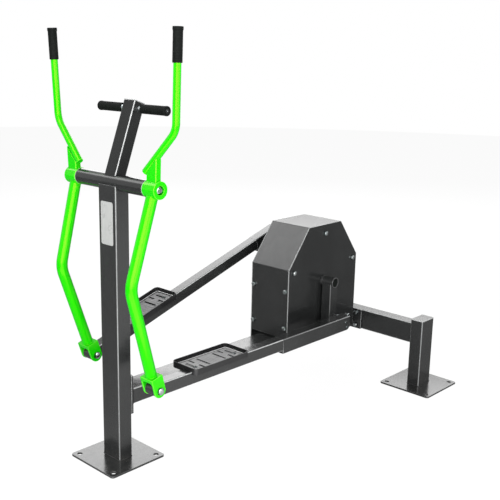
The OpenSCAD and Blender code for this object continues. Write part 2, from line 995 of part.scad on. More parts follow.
module on_right_arm() {
    translate([arm_x, pin_y(right_swing), pin_z(right_swing)]) rotate([right_slope, 0, 0])
        children();
}

module on_left_arm() {
    translate([-arm_x, pin_y(left_swing), pin_z(left_swing)]) rotate([left_slope, 0, 0])
        children();
}

bracket_start = arm_l + bracket_past - bracket_l;
left_bracket_start = arm_l + bracket_past - left_bracket_l;

// The arm's tube with its front bush; start is where the deeper rear section begins
module arm_beam(start) {
    difference() {
        union() {
            rod_x(bush_d, -bush_w / 2, bush_w / 2);
            translate([0, beam_front, 0]) rotate([-axis_turn, 0, 0])
                box_tube(arm_w, arm_w, arm_wall, start - beam_front);
        }
        rod_x(pin_d + 2 * running_fit, -arm_w, arm_w);
    }
}

// Side view of the deeper rear section, with its round lower rear corner
module bracket_side(start, inset) {
    low = arm_w / 2 - bracket_h + inset;
    high = arm_w / 2 - inset;
    end = arm_l + bracket_past - inset;
    r = bracket_corner_r - inset;
    polygon([
        [start, low], [end - r, low], [end - r, low + r],
        [end, low + r], [end, high], [start, high]
    ]);
    translate([end - r, low + r]) circle(r);
}

module arm_bracket(start) {
    difference() {
        translate([-arm_w / 2, 0, 0]) rotate([axis_turn, 0, axis_turn])
            linear_extrude(arm_w) bracket_side(start, 0);
        difference() {
            translate([bracket_wall - arm_w / 2, 0, 0]) rotate([axis_turn, 0, axis_turn])
                linear_extrude(arm_w - 2 * bracket_wall)
                    bracket_side(start, bracket_wall);
            translate([0, arm_l, 0]) rod_x(bearing_flange_d, -arm_w, arm_w);
        }
        translate([0, arm_l, 0]) rod_x(bearing_d, -arm_w, bearing_depth - arm_w / 2);
    }
}

// Bearing in the inner face and the two small bolts in the outer face; side is -1 or 1
module arm_bearing(side) {
    inner = arm_w / 2 + bearing_flange_t;
    mirror([side < 0 ? 1 : 0, 0, 0]) {
        translate([0, arm_l, 0]) {
            ring_x(bearing_flange_d, journal_d, -inner, -arm_w / 2);
            ring_x(
                bearing_d - 2 * running_fit, journal_d,
                -arm_w / 2, bearing_depth - arm_w / 2
            );
        }
        for (p = [[0, 0], [lower_bolt_y, -lower_bolt_z]])
            translate([arm_w / 2, arm_l + p[0], p[1]])
                rod_x(2 * arm_bolt_d, 0, arm_bolt_d / 2);
    }
}

// Lower part of the tray's edge, open where the arm passes
module pedal_hem() {
    open_w = arm_w + 2 * hem_gap;
    difference() {
        translate([0, 0, -pedal_hem_h]) linear_extrude(pedal_hem_h + floor_t)
            difference() {
                round_rect(pedal_w, pedal_l, pedal_corner_r);
                round_rect(pedal_w - 2 * rim_t, pedal_l - 2 * rim_t, pedal_corner_r - rim_t);
            }
        translate([pedal_shift - open_w / 2, -pedal_l, -pedal_hem_h - overrun])
            cube([open_w, 2 * pedal_l, pedal_hem_h + overrun]);
    }
}

module pedal() {
    place = [-pedal_shift, pedal_start + pedal_l / 2, arm_w / 2];
    ledge_z = pedal_h - ledge_drop;
    translate(place) {
        difference() {
            linear_extrude(pedal_h) round_rect(pedal_w, pedal_l, pedal_corner_r);
            translate([0, 0, ledge_z]) linear_extrude(pedal_h)
                round_rect(pedal_w - 2 * rim_t, pedal_l - 2 * rim_t, pedal_corner_r - rim_t);
            translate([0, 0, floor_t]) linear_extrude(pedal_h)
                round_rect(
                    pedal_w - 2 * (rim_t + ledge_w),
                    pedal_l - 2 * (rim_t + ledge_w),
                    pedal_corner_r - rim_t - ledge_w
                );
            for (s = [-1, 1])
                translate([pedal_shift, s * pedal_bolt_share * pedal_l, -overrun])
                    cylinder(d = pedal_bolt_d + 2 * running_fit, h = pedal_h);
        }
        pedal_hem();
        tread_step = pedal_l * (1 - 2 * tread_w / pedal_corner_r) / (tread_count + 1);
        tread_l = tread_l_share * pedal_w;
        for (i = [1 : tread_count])
            translate([
                -tread_l / 2,
                (i - (tread_count + 1) / 2) * tread_step - tread_w / 2,
                floor_t
            ])
                cube([tread_l, tread_w, tread_h]);
    }
}

module pedal_bolts() {
    for (s = [-1, 1])
        translate([0, pedal_start + pedal_l / 2 + s * pedal_bolt_share * pedal_l, arm_w / 2]) {
            cylinder(d = pedal_bolt_d, h = floor_t);
            translate([0, 0, floor_t])
                cylinder(d = 2 * pedal_bolt_d, h = pedal_bolt_head_h);
        }
}

module right_arm_beam() {
    color("dimgray") on_right_arm() arm_beam(bracket_start);
}

module right_arm_bracket() {
    color("dimgray") on_right_arm() arm_bracket(bracket_start);
}

module right_arm_bearing() {
    color("silver") on_right_arm() arm_bearing(1);
}

module right_pedal() {
    color("black") on_right_arm() pedal();
}

module right_pedal_bolts() {
    color("silver") on_right_arm() pedal_bolts();
}

module left_arm_beam() {
    color("dimgray") on_left_arm() arm_beam(left_bracket_start);
}

module left_arm_bracket() {
    color("dimgray") on_left_arm() mirror([1, 0, 0]) arm_bracket(left_bracket_start);
}

module left_arm_bearing() {
    color("silver") on_left_arm() arm_bearing(-1);
}

module left_pedal() {
    color("black") on_left_arm() pedal();
}

module left_pedal_bolts() {
    color("silver") on_left_arm() pedal_bolts();
}

front_base_plate();
rear_base_plate();
front_post();
rear_post();
rear_caps();
main_beam();
front_flange();
rear_flange();
flange_bolts();
rear_beam();
cross_tube();
lever_axle();
thrust_washers();
axle_nuts();
upper_post();
upper_post_cap();
grip_bar();
bar_grip_right();
bar_grip_left();
label_plate();
housing_shell();
cover_right();
cover_left();
cover_bolts();
shell_bolts();
backing_plates();
housing_base();
bearing_stands();
shaft_bearings();
shaft_seals();
crank_shaft();
flywheel();
crank_arm_right();
crank_arm_left();
crank_caps();
right_hub();
right_bush();
right_lower_tube();
right_clevis();
right_pin();
right_upper_tube();
right_grip();
left_hub();
left_bush();
left_lower_tube();
left_clevis();
left_pin();
left_upper_tube();
left_grip();
right_arm_beam();
right_arm_bracket();
right_arm_bearing();
right_pedal();
right_pedal_bolts();
left_arm_beam();
left_arm_bracket();
left_arm_bearing();
left_pedal();
left_pedal_bolts();
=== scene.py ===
"""Outdoor cross trainer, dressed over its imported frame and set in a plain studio."""

from __future__ import annotations

import logging
import math
from dataclasses import dataclass, field
from enum import Enum
from typing import Iterable, Sequence

import bmesh
import bpy
from mathutils import Matrix, Vector

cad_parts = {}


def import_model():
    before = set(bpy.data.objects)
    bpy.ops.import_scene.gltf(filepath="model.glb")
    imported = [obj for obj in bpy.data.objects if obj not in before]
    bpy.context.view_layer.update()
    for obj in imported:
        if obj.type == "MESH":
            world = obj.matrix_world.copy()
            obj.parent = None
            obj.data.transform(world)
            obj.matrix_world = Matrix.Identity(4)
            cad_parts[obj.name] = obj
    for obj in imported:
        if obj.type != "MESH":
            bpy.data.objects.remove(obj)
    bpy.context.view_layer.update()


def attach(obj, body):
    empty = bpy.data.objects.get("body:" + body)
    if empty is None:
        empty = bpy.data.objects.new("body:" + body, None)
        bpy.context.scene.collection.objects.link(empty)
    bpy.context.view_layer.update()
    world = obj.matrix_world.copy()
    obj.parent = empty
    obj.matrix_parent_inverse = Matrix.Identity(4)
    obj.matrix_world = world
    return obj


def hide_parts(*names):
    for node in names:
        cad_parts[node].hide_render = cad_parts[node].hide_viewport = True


LOG = logging.getLogger("cross_trainer")
MM = 0.001
END_STEPS = 3  # chords in the round of an end
BEVEL_ANGLE = 35.0  # degrees from which an edge is rounded
SMOOTH_ANGLE = 38.0  # degrees up to which the shading runs on
Pair = tuple[float, float]
Triple = tuple[float, float, float]
Point = Sequence[float]
Outline = list[Pair]
Ring = list[Vector]
Path = tuple[Sequence[Vector], bool]
Spot = tuple[Vector, Vector]
Socket = bpy.types.NodeSocket
Inputs = dict[str | int, object]


# -------- places


def at(x: float = 0.0, y: float = 0.0, z: float = 0.0) -> Matrix:
    """Return a move in millimetres."""
    return Matrix.Translation((x, y, z))


def turn(degrees: float, axis: str) -> Matrix:
    """Return a turn about one axis."""
    return Matrix.Rotation(math.radians(degrees), 4, axis)


def flip_x() -> Matrix:
    """Return a mirror across the middle plane."""
    return Matrix.Scale(-1.0, 4, (1.0, 0.0, 0.0))


def along_x() -> Matrix:
    """Return the turn that lays a shape drawn along Z out along +X."""
    return turn(90.0, "Y")


def along_y() -> Matrix:
    """Return the turn that lays a shape drawn along Z out along +Y."""
    return turn(-90.0, "X")


def side_on() -> Matrix:
    """Return the turn that stands a plate drawn in Y and Z across the machine."""
    return turn(90, "Z") @ turn(90, "X")


class Side(Enum):
    """The two halves of the machine, with the sign of their X."""

    RIGHT = 1
    LEFT = -1

    @property
    def word(self) -> str:
        """Return the name that the nodes and bodies start with."""
        return self.name.lower()


@dataclass
class Linkage:
    """Where the levers, arms and cranks stand at rest.

    The right crank points straight down and the left one straight up.
    """

    hub_height: float = 1080.0
    pin_back: float = 16.0
    pin_drop: float = 730.0
    arm_l: float = 1131.0
    arm_x: float = 221.5
    crank_y: float = 1128.0
    crank_h: float = 520.0
    crank_r: float = 173.0

    @property
    def lever_r(self) -> float:
        """Return how far the pin stands from the levers' axis."""
        return math.hypot(self.pin_back, self.pin_drop)

    def _swing(self, side: Side) -> float:
        """Return the angle in degrees from straight down to the lever's pin.

        Args:
            side: Which lever.

        Returns:
            The angle about X, positive towards the housing.
        """
        drop = self.hub_height - self.crank_end(side)
        reach = math.hypot(self.crank_y, drop)
        inner = (self.lever_r**2 + reach**2 - self.arm_l**2) / (2 * self.lever_r * reach)
        return math.degrees(math.atan2(self.crank_y, drop) - math.acos(inner))

    def crank_end(self, side: Side) -> float:
        """Return the height of a crank pin."""
        return self.crank_h - side.value * self.crank_r

    def pin(self, side: Side) -> Pair:
        """Return where the pin stands that joins lever and arm.

        Args:
            side: Which lever.

        Returns:
            Its Y and Z.
        """
        swing = math.radians(self._swing(side))
        return self.lever_r * math.sin(swing), self.hub_height - self.lever_r * math.cos(swing)

    def on_lever(self, side: Side) -> Matrix:
        """Return the place of a lever drawn for the right side with its axis at the origin.

        Args:
            side: Which lever.

        Returns:
            The matrix, with a mirror in it for the left side.
        """
        own = math.degrees(math.atan2(self.pin_back, self.pin_drop))
        place = at(0, 0, self.hub_height) @ turn(self._swing(side) - own, "X")
        return place if side is Side.RIGHT else place @ flip_x()

    def on_arm(self, side: Side) -> Matrix:
        """Return the place of a pedal arm drawn with its front pin at the origin.

        Args:
            side: Which arm.

        Returns:
            The matrix. Its Y runs along the arm.
        """
        y, z = self.pin(side)
        slope = math.degrees(math.atan2(self.crank_end(side) - z, self.crank_y - y))
        return at(side.value * self.arm_x, y, z) @ turn(slope, "X")

    def on_crank(self) -> Matrix:
        """Return the place of the crank axis."""
        return at(0, self.crank_y, self.crank_h)


# -------- outlines


@dataclass(frozen=True)
class RoundSection:
    """A round tube seen end on."""

    d: float
    sides: int

    def ring(self, inset: float = 0.0) -> Outline:
        """Return the outline, drawn in by inset."""
        return circle_points(0, 0, self.d / 2 - inset, self.sides)


@dataclass(frozen=True)
class BoxSection:
    """A rectangle with round corners seen end on."""

    w: float
    d: float
    r: float
    corner_steps: int = 5

    def ring(self, inset: float = 0.0) -> Outline:
        """Return the outline, drawn in by inset.

        Args:
            inset: How far every side moves in.

        Returns:
            Points anticlockwise, the same number for every inset.
        """
        r = max(self.r - inset, 0.05)
        half_w, half_d = self.w / 2 - inset - r, self.d / 2 - inset - r
        points = []
        for quarter, (sx, sy) in enumerate(((1, 1), (-1, 1), (-1, -1), (1, -1))):
            for step in range(self.corner_steps + 1):
                a = math.pi / 2 * (quarter + step / self.corner_steps)
                points.append((sx * half_w + r * math.cos(a), sy * half_d + r * math.sin(a)))
        return points


Section = BoxSection | RoundSection


def circle_points(x: float, y: float, r: float, sides: int = 40) -> Outline:
    """Return the points of a circle."""
    steps = [2 * math.pi * i / sides for i in range(sides)]
    return [(x + r * math.cos(a), y + r * math.sin(a)) for a in steps]


def rectangle(w: float, h: float) -> Outline:
    """Return the corners of a rectangle round the origin."""
    return [(s * w / 2, t * h / 2) for s, t in ((-1, -1), (1, -1), (1, 1), (-1, 1))]


def round_corners(points: Sequence[Point], radii: Sequence[float], steps: int = 6) -> Outline:
    """Round each corner of an outline by its own radius.

    Args:
        points: Corners in order.
        radii: One radius for each corner, 0 for a sharp one.
        steps: Number of chords in each arc.

    Returns:
        The points of the new outline.
    """
    result: Outline = []
    count = len(points)
    for i, r in enumerate(radii):
        here = Vector(points[i])
        back = (Vector(points[i - 1]) - here).normalized()
        ahead = (Vector(points[(i + 1) % count]) - here).normalized()
        if r <= 0:
            result.append((here.x, here.y))
            continue
        half = math.acos(max(-1.0, min(1.0, back.dot(ahead)))) / 2
        reach = r / math.tan(half)
        centre = here + (back + ahead).normalized() * (r / math.sin(half))
        start, end = here + back * reach - centre, here + ahead * reach - centre
        sweep = math.atan2(start.x * end.y - start.y * end.x, start.dot(end))
        for step in range(steps + 1):
            a = sweep * step / steps
            x = start.x * math.cos(a) - start.y * math.sin(a)
            y = start.x * math.sin(a) + start.y * math.cos(a)
            result.append((centre.x + x, centre.y + y))
    return result


# -------- meshes


def show(thing: bpy.types.Object) -> None:
    """Put an object into the scene."""
    bpy.context.scene.collection.objects.link(thing)


def raised(points: Iterable[Point], z: float) -> Ring:
    """Return the points of an outline at a height."""
    return [Vector((x, y, z)) for x, y in points]


class Shape:
    """A mesh in the making, in millimetres."""

    def __init__(self) -> None:
        """Start with no faces."""
        self.bm = bmesh.new()

    def loft(self, rings: Sequence[Ring], closed: bool = False) -> "Shape":
        """Join rings of the same number of points.

        Args:
            rings: Rings in order.
            closed: Whether the last ring joins the first one. If not, both are filled.

        Returns:
            This shape.
        """
        grid = [[self.bm.verts.new(p) for p in ring] for ring in rings]
        pairs = list(zip(grid, grid[1:]))
        if closed:
            pairs.append((grid[-1], grid[0]))
        for low, high in pairs:
            for i in range(len(low)):
                j = (i + 1) % len(low)
                self.bm.faces.new((low[i], low[j], high[j], high[i]))
        if not closed:
            self.bm.faces.new(list(reversed(grid[0])))
            self.bm.faces.new(grid[-1])
        return self

    def add(self, other: "Shape", place: Matrix | None = None) -> None:
        """Take in a copy of another shape.

        Args:
            other: The shape to copy. It is used up.
            place: Where the copy goes.
        """
        mesh = bpy.data.meshes.new("part")
        if place is not None:
            other.move(place)
        other.bm.to_mesh(mesh)
        other.bm.free()
        self.bm.from_mesh(mesh)
        bpy.data.meshes.remove(mesh)

    def move(self, place: Matrix) -> "Shape":
        """Move the whole shape, and turn its faces back out after a mirror.

        Args:
            place: The matrix.

        Returns:
            This shape.
        """
        self.bm.transform(place)
        if place.determinant() < 0:
            bmesh.ops.reverse_faces(self.bm, faces=self.bm.faces)
        return self

    def shear_top(self, above: float, slope: float) -> None:
        """Tilt what lies above a height, so that its end follows a slope in X.

        Args:
            above: Height from which points move.
            slope: Rise per unit of X.
        """
        for v in self.bm.verts:
            if v.co.z > above:
                v.co.z += slope * v.co.x

    def soften(self, width: float) -> "Shape":
        """Round every edge sharper than the bevel angle.

        Args:
            width: Width of the round.

        Returns:
            This shape.
        """
        sharp = [e for e in self.bm.edges if e.calc_face_angle(0.0) > math.radians(BEVEL_ANGLE)]
        bmesh.ops.bevel(
            self.bm, geom=sharp, offset=width, offset_type="OFFSET", segments=3,
            profile=0.5, affect="EDGES", clamp_overlap=True,
        )
        return self


def end_steps(edge: float) -> Outline:
    """Return the height and the inset of each ring in the round of an end."""
    angles = [math.pi / 2 * k / END_STEPS for k in range(END_STEPS + 1)]
    return [(edge * (1 - math.cos(a)), edge * (1 - math.sin(a))) for a in angles]


def prism(section: Section, length: float, start_r: float, end_r: float) -> Shape:
    """Stand a bar or tube on Z with rounded end edges.

    Args:
        section: Its outline.
        length: Its length along Z from 0.
        start_r: Radius of the lower edge.
        end_r: Radius of the upper edge.

    Returns:
        The closed shape.
    """
    low = [raised(section.ring(inset), z) for z, inset in end_steps(start_r)]
    high = [raised(section.ring(inset), length - z) for z, inset in end_steps(end_r)]
    return Shape().loft(low + high[::-1])


def lathe(profile: Sequence[Point], sides: int, ring: bool = False) -> Shape:
    """Turn a profile of radius and height about Z.

    Args:
        profile: Points (r, z) from the lower end to the upper one.
        sides: Number of sides.
        ring: Whether the profile is a closed loop, as for a ring with a bore.

    Returns:
        The closed shape.
    """
    rings = [raised(circle_points(0, 0, max(r, 0.02), sides), z) for r, z in profile]
    shape = Shape().loft(rings, closed=ring)
    bmesh.ops.recalc_face_normals(shape.bm, faces=shape.bm.faces)
    return shape


def rod(d: float, z1: float, z2: float, edge: float, sides: int = 64) -> Shape:
    """Turn a plain bar about Z with rounded end edges.

    Args:
        d: Diameter.
        z1: Lower end.
        z2: Upper end.
        edge: Radius of its edges.
        sides: Number of sides.

    Returns:
        The closed shape.
    """
    return prism(RoundSection(d, sides), z2 - z1, edge, edge).move(at(0, 0, z1))


def tube_ring(d: float, bore: float, z1: float, z2: float, edge: float, sides: int = 64) -> Shape:
    """Turn a ring with a through bore about Z.

    Args:
        d: Outside diameter.
        bore: Bore.
        z1: Lower end.
        z2: Upper end.
        edge: Radius of its edges.
        sides: Number of sides.

    Returns:
        The closed shape.
    """
    corners = [(bore / 2, z1), (d / 2, z1), (d / 2, z2), (bore / 2, z2)]
    loop = round_corners(corners, [edge * 0.6, edge, edge, edge * 0.6], 3)
    return lathe(loop, sides, ring=True)


@dataclass(frozen=True)
class BentPath:
    """The middle line of a rod with one bend, as in the source of the solids."""

    leg_a: float
    leg_b: float
    bend: float
    r: float
    steps: int = 18

    def frames(self) -> list[Matrix]:
        """Return places along the line, each with Z along it.

        Returns:
            Matrices from the free end of the first leg to that of the second.
        """
        tangent = self.r * math.tan(math.radians(self.bend) / 2)
        spots = [(-self.leg_a, 0.0, 0.0), (-tangent, 0.0, 0.0)]
        for step in range(1, self.steps + 1):
            a = math.radians(self.bend) * step / self.steps
            spots.append((-tangent + self.r * math.sin(a), self.r * (1 - math.cos(a)), a))
        end = math.radians(self.bend)
        spots.append((self.leg_b * math.cos(end), self.leg_b * math.sin(end), end))
        return [at(x, y, 0) @ Matrix.Rotation(a, 4, "Z") @ along_x() for x, y, a in spots]


def sweep(section: Section, frames: Sequence[Matrix], edge: float) -> Shape:
    """Run a section along places, with rounded end edges.

    Args:
        section: The outline.
        frames: Places in order, each with Z along the path.
        edge: Radius of the end edges.

    Returns:
        The closed shape.
    """
    first = [[frames[0] @ p for p in raised(section.ring(inset), z)] for z, inset in end_steps(edge)]
    middle = [[frame @ p for p in raised(section.ring(), 0)] for frame in frames[1:-1]]
    last = [[frames[-1] @ p for p in raised(section.ring(inset), -z)] for z, inset in end_steps(edge)]
    return Shape().loft([*first, *middle, *last[::-1]])


def slab(outline: Sequence[Point], holes: Iterable[Sequence[Point]], thick: float, edge: float) -> Shape:
    """Cut a flat plate with round edges and holes, from Z = 0 to its thickness.

    Args:
        outline: Its outer corners.
        holes: The outlines of its holes.
        thick: Its thickness.
        edge: Radius of its edges.

    Returns:
        The closed shape.
    """
    curve = bpy.data.curves.new("slab", "CURVE")
    curve.dimensions = "2D"
    curve.fill_mode = "BOTH"
    curve.extrude = thick / 2 - edge
    curve.bevel_depth = edge
    curve.bevel_resolution = 2
    curve.offset = -edge
    for loop in [outline, *holes]:
        spline = curve.splines.new("POLY")
        spline.points.add(len(loop) - 1)
        for target, (x, y) in zip(spline.points, loop):
            target.co = (x, y, 0.0, 1.0)
        spline.use_cyclic_u = True
    holder = bpy.data.objects.new("slab", curve)
    mesh = bpy.data.meshes.new_from_object(holder)
    shape = Shape()
    shape.bm.from_mesh(mesh)
    bpy.data.objects.remove(holder)
    bpy.data.curves.remove(curve)
    bpy.data.meshes.remove(mesh)
    bmesh.ops.remove_doubles(shape.bm, verts=shape.bm.verts, dist=0.002)
    bmesh.ops.recalc_face_normals(shape.bm, faces=shape.bm.faces)
    return shape.move(at(0, 0, thick / 2))


def from_solid(node: str, width: float) -> Shape:
    """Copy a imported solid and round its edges.

    Args:
        node: Name of the solid.
        width: Width of the round.

    Returns:
        The shape, in its place.
    """
    shape = Shape()
    shape.bm.from_mesh(bpy.data.objects[node].data)
    shape.bm.transform(Matrix.Scale(1 / MM, 4))
    bmesh.ops.remove_doubles(shape.bm, verts=shape.bm.verts, dist=0.01)
    flat = math.radians(0.6)
    bmesh.ops.dissolve_limit(shape.bm, angle_limit=flat, verts=shape.bm.verts, edges=shape.bm.edges)
    return shape.soften(width)


# -------- node graphs


class Graph:
    """A node tree being wired, for shaders and for geometry."""

    def __init__(self, tree: bpy.types.NodeTree) -> None:
        """Start on an empty tree."""
        self.tree = tree
        tree.nodes.clear()

    def node(self, kind: str, inputs: Inputs | None = None, **settings: object) -> bpy.types.Node:
        """Add a node and fill its sockets.

        Args:
            kind: The node's type.
            inputs: Values or sockets by input name or number.
            **settings: Properties of the node itself.

        Returns:
            The node.
        """
        new = self.tree.nodes.new(kind)
        for key, value in settings.items():
            setattr(new, key, value)
        for key, value in (inputs or {}).items():
            self.feed(new.inputs[key], value)
        return new

    def out(self, kind: str, inputs: Inputs | None = None, **settings: object) -> Socket:
        """Add a node as node() does, and return its first output."""
        return self.node(kind, inputs, **settings).outputs[0]

    def feed(self, socket: Socket, value: object) -> None:
        """Link a socket or set its value.

        Args:
            socket: The input socket.
            value: Value or socket.
        """
        if isinstance(value, Socket):
            self.tree.links.new(value, socket)
        else:
            socket.default_value = value

    def math(self, operation: str, a: object, b: object = 0.0) -> Socket:
        """Add one sum.

        Args:
            operation: The sum's name in capitals.
            a: First value or socket.
            b: Second value or socket.

        Returns:
            The result's socket.
        """
        return self.out("ShaderNodeMath", {0: a, 1: b}, operation=operation)

    def add(self, a: object, b: object) -> Socket:
        """Add two values."""
        return self.math("ADD", a, b)

    def sub(self, a: object, b: object) -> Socket:
        """Take the second value from the first."""
        return self.math("SUBTRACT", a, b)

    def mul(self, a: object, b: object) -> Socket:
        """Multiply two values."""
        return self.math("MULTIPLY", a, b)

    def div(self, a: object, b: object) -> Socket:
        """Divide the first value by the second."""
        return self.math("DIVIDE", a, b)

    def vector(self, x: object = 0.0, y: object = 0.0, z: object = 0.0) -> Socket:
        """Join three values."""
        return self.out("ShaderNodeCombineXYZ", {0: x, 1: y, 2: z})

    def position(self) -> bpy.types.NodeOutputs:
        """Return the X, Y and Z of every point."""
        where = self.out("GeometryNodeInputPosition")
        return self.node("ShaderNodeSeparateXYZ", {0: where}).outputs

    def shaped(self, source: bpy.types.Node, x: object, y: object, z: object) -> Socket:
        """Set every point of a mesh.

        Args:
            source: The node that makes the mesh.
            x: New X.
            y: New Y.
            z: New Z.

        Returns:
            The geometry's socket.
        """
        inputs = {"Geometry": source.outputs["Mesh"], "Position": self.vector(x, y, z)}
        return self.out("GeometryNodeSetPosition", inputs)

    def span(self, value: object, low: float, high: float, to_low: float, to_high: float) -> Socket:
        """Map one range on another, held at its ends.

        Args:
            value: Value or socket.
            low: Start of the first range.
            high: End of the first range.
            to_low: Start of the second range.
            to_high: End of the second range.

        Returns:
            The result's socket.
        """
        inputs = {"Value": value, "From Min": low, "From Max": high, "To Min": to_low, "To Max": to_high}
        return self.out("ShaderNodeMapRange", inputs, interpolation_type="SMOOTHSTEP")

    def blend(self, share: object, a: object, b: object) -> Socket:
        """Mix two colours.

        Args:
            share: Share of the second.
            a: First colour or socket.
            b: Second colour or socket.

        Returns:
            The colour's socket.
        """
        mix = self.node("ShaderNodeMix", data_type="RGBA")
        for number, value in ((0, share), (6, a), (7, b)):
            self.feed(mix.inputs[number], value)
        return mix.outputs[2]

    def noise(self, where: object, scale: float, detail: float = 2.0, rough: float = 0.5) -> Socket:
        """Add a noise pattern.

        Args:
            where: Coordinates.
            scale: Waves per metre.
            detail: Octaves.
            rough: Share of the finer octaves.

        Returns:
            Its value's socket.
        """
        inputs = {"Vector": where, "Scale": scale, "Detail": detail, "Roughness": rough}
        return self.node("ShaderNodeTexNoise", inputs).outputs["Fac"]

    def stretched(self, where: object, scale: Point) -> Socket:
        """Stretch coordinates by a factor for each axis."""
        return self.out("ShaderNodeMapping", {"Vector": where, "Scale": scale})


def grey(level: float) -> tuple[float, float, float, float]:
    """Return a neutral colour."""
    return (level, level, level, 1.0)


class Slot(Enum):
    """The material slots, by name."""

    POWDER = "powder_coat"
    GREEN = "green_coat"
    ZINC = "zinc_steel"
    RUBBER = "black_rubber"
    PLASTIC = "black_plastic"
    NYLON = "grey_nylon"
    WHITE = "white_plate"
    IRON = "grey_iron"


class Skin(Graph):
    """A material being wired, with its shader and the coordinates on the piece."""

    def __init__(self, tree: bpy.types.NodeTree) -> None:
        """Start with a shader and the coordinates.

        Args:
            tree: The material's empty tree.
        """
        super().__init__(tree)
        self.place = self.node("ShaderNodeTexCoord").outputs["Object"]
        self.shader = self.node("ShaderNodeBsdfPrincipled")

    def paint(self, label: str, value: object) -> None:
        """Link or set one of the shader's sockets."""
        self.feed(self.shader.inputs[label], value)

    def edge(self) -> Socket:
        """Return how near the round of an edge is, which sets the painted edge highlight."""
        return self.node("ShaderNodeAttribute", attribute_name="edge").outputs["Fac"]

    def bump(self, height: object, depth: float, strength: float = 1.0, under: object = None) -> Socket:
        """Turn a height into a surface direction.

        Args:
            height: Height from 0 to 1.
            depth: Real depth in metres.
            strength: Share of the effect.
            under: A direction that this one adds to.

        Returns:
            The direction's socket.
        """
        node = self.node("ShaderNodeBump", {"Height": height, "Distance": depth, "Strength": strength})
        if under is not None:
            self.feed(node.inputs["Normal"], under)
        return node.outputs[0]


@dataclass(frozen=True)
class Finish:
    """What every finish has: a name, a slot, a colour, and its material, made once."""

    name: str
    slot: Slot
    colour: Triple

    def material(self) -> bpy.types.Material:
        """Find the finish's material, or make it on first use.

        Returns:
            The material.
        """
        found = bpy.data.materials.get(self.name)
        if found is not None:
            return found
        new = bpy.data.materials.new(self.name)
        new.use_nodes = True
        skin = Skin(new.node_tree)
        self.wire(skin)
        skin.node("ShaderNodeOutputMaterial", {"Surface": skin.shader.outputs[0]})
        return new

    def wire(self, skin: Skin) -> None:
        """Fill the shader's sockets; each finish has its own way."""
        raise NotImplementedError


@dataclass(frozen=True)
class PowderCoat(Finish):
    """Glossy powder coat with orange peel, and edges painted paler as a highlight, varied by faint rub marks
    that are partly wear.
    """

    paler_tone: Triple = (0.13, 0.13, 0.13)
    tint: Triple = (1.0, 1.0, 1.0)
    base_ior: float = 1.4
    coat_ior: float = 1.35
    rough: Pair = (0.22, 0.27)
    coat: float = 0.35
    coat_rough: float = 0.1
    variation: float = 0.14
    flakes: float = 0.06
    # Share of rub noise in the paler edges, which are partly wear and partly a painted highlight
    wear_and_shine: float = 0.25
    # Colour of the painted highlight on the rounds of edges
    edge: Triple = (0.62, 0.63, 0.63)
    edge_highlight_base: float = 0.6
    peel_per_m: float = 420.0
    peel_depth: float = 0.000006
    cloud_per_m: float = 7.0
    flake_per_m: float = 1400.0
    rub_and_shine_per_m: float = 60.0
    dust_top: float = 0.16
    dust_share: float = 0.04
    dust_per_m: float = 24.0
    streak_per_m: float = 38.0
    dust: Triple = (0.23, 0.22, 0.2)

    def wire(self, skin: Skin) -> None:
        """Wire colour, gloss and relief.

        Args:
            skin: The material being wired.
        """
        dark = (*(c * (1 - self.variation) for c in self.colour), 1.0)
        light = (*(c * (1 + self.variation) for c in self.colour), 1.0)
        clouds = skin.noise(skin.place, self.cloud_per_m, 4.0, 0.6)
        colour = skin.blend(skin.span(clouds, 0.3, 0.7, 0, 1), dark, light)
        flakes = skin.noise(skin.place, self.flake_per_m, 1.0)
        colour = skin.blend(skin.span(flakes, 0.62, 0.8, 0, self.flakes), colour, (*self.paler_tone, 1.0))
        # Painted highlight: the rounds of edges, marked by the edge attribute, turn paler, varied by rub
        # noise
        edge = skin.edge()
        rub_and_shine = skin.span(skin.noise(skin.place, self.rub_and_shine_per_m, 5.0, 0.7), 0.5, 0.72, 0, self.wear_and_shine)
        edge_highlight = skin.mul(edge, skin.add(rub_and_shine, self.edge_highlight_base))
        colour = skin.blend(edge_highlight, colour, (*self.edge, 1.0))
        height = skin.node("ShaderNodeSeparateXYZ", {0: skin.place}).outputs["Z"]
        low = skin.span(height, 0.0, self.dust_top, self.dust_share, 0.0)
        drift = skin.noise(skin.place, self.dust_per_m, 5.0, 0.65)
        settled = skin.mul(low, skin.span(drift, 0.42, 0.7, 0, 1))
        colour = skin.blend(settled, colour, (*self.dust, 1.0))
        skin.paint("Base Color", colour)
        streaks = skin.noise(skin.stretched(skin.place, (1, 1, 0.12)), self.streak_per_m, 4.0, 0.6)
        gloss = skin.span(streaks, 0.3, 0.72, self.rough[0], self.rough[1])
        skin.paint("Roughness", skin.add(gloss, skin.mul(settled, 0.25)))
        peel = skin.noise(skin.place, self.peel_per_m, 2.0, 0.45)
        skin.paint("Normal", skin.bump(peel, self.peel_depth))
        skin.paint("Coat Normal", skin.bump(peel, self.peel_depth * 0.4))
        for label, value in (
            ("IOR", self.base_ior), ("Coat Weight", self.coat), ("Coat IOR", self.coat_ior),
            ("Coat Roughness", self.coat_rough), ("Specular Tint", (*self.tint, 1.0)),
        ):
            skin.paint(label, value)


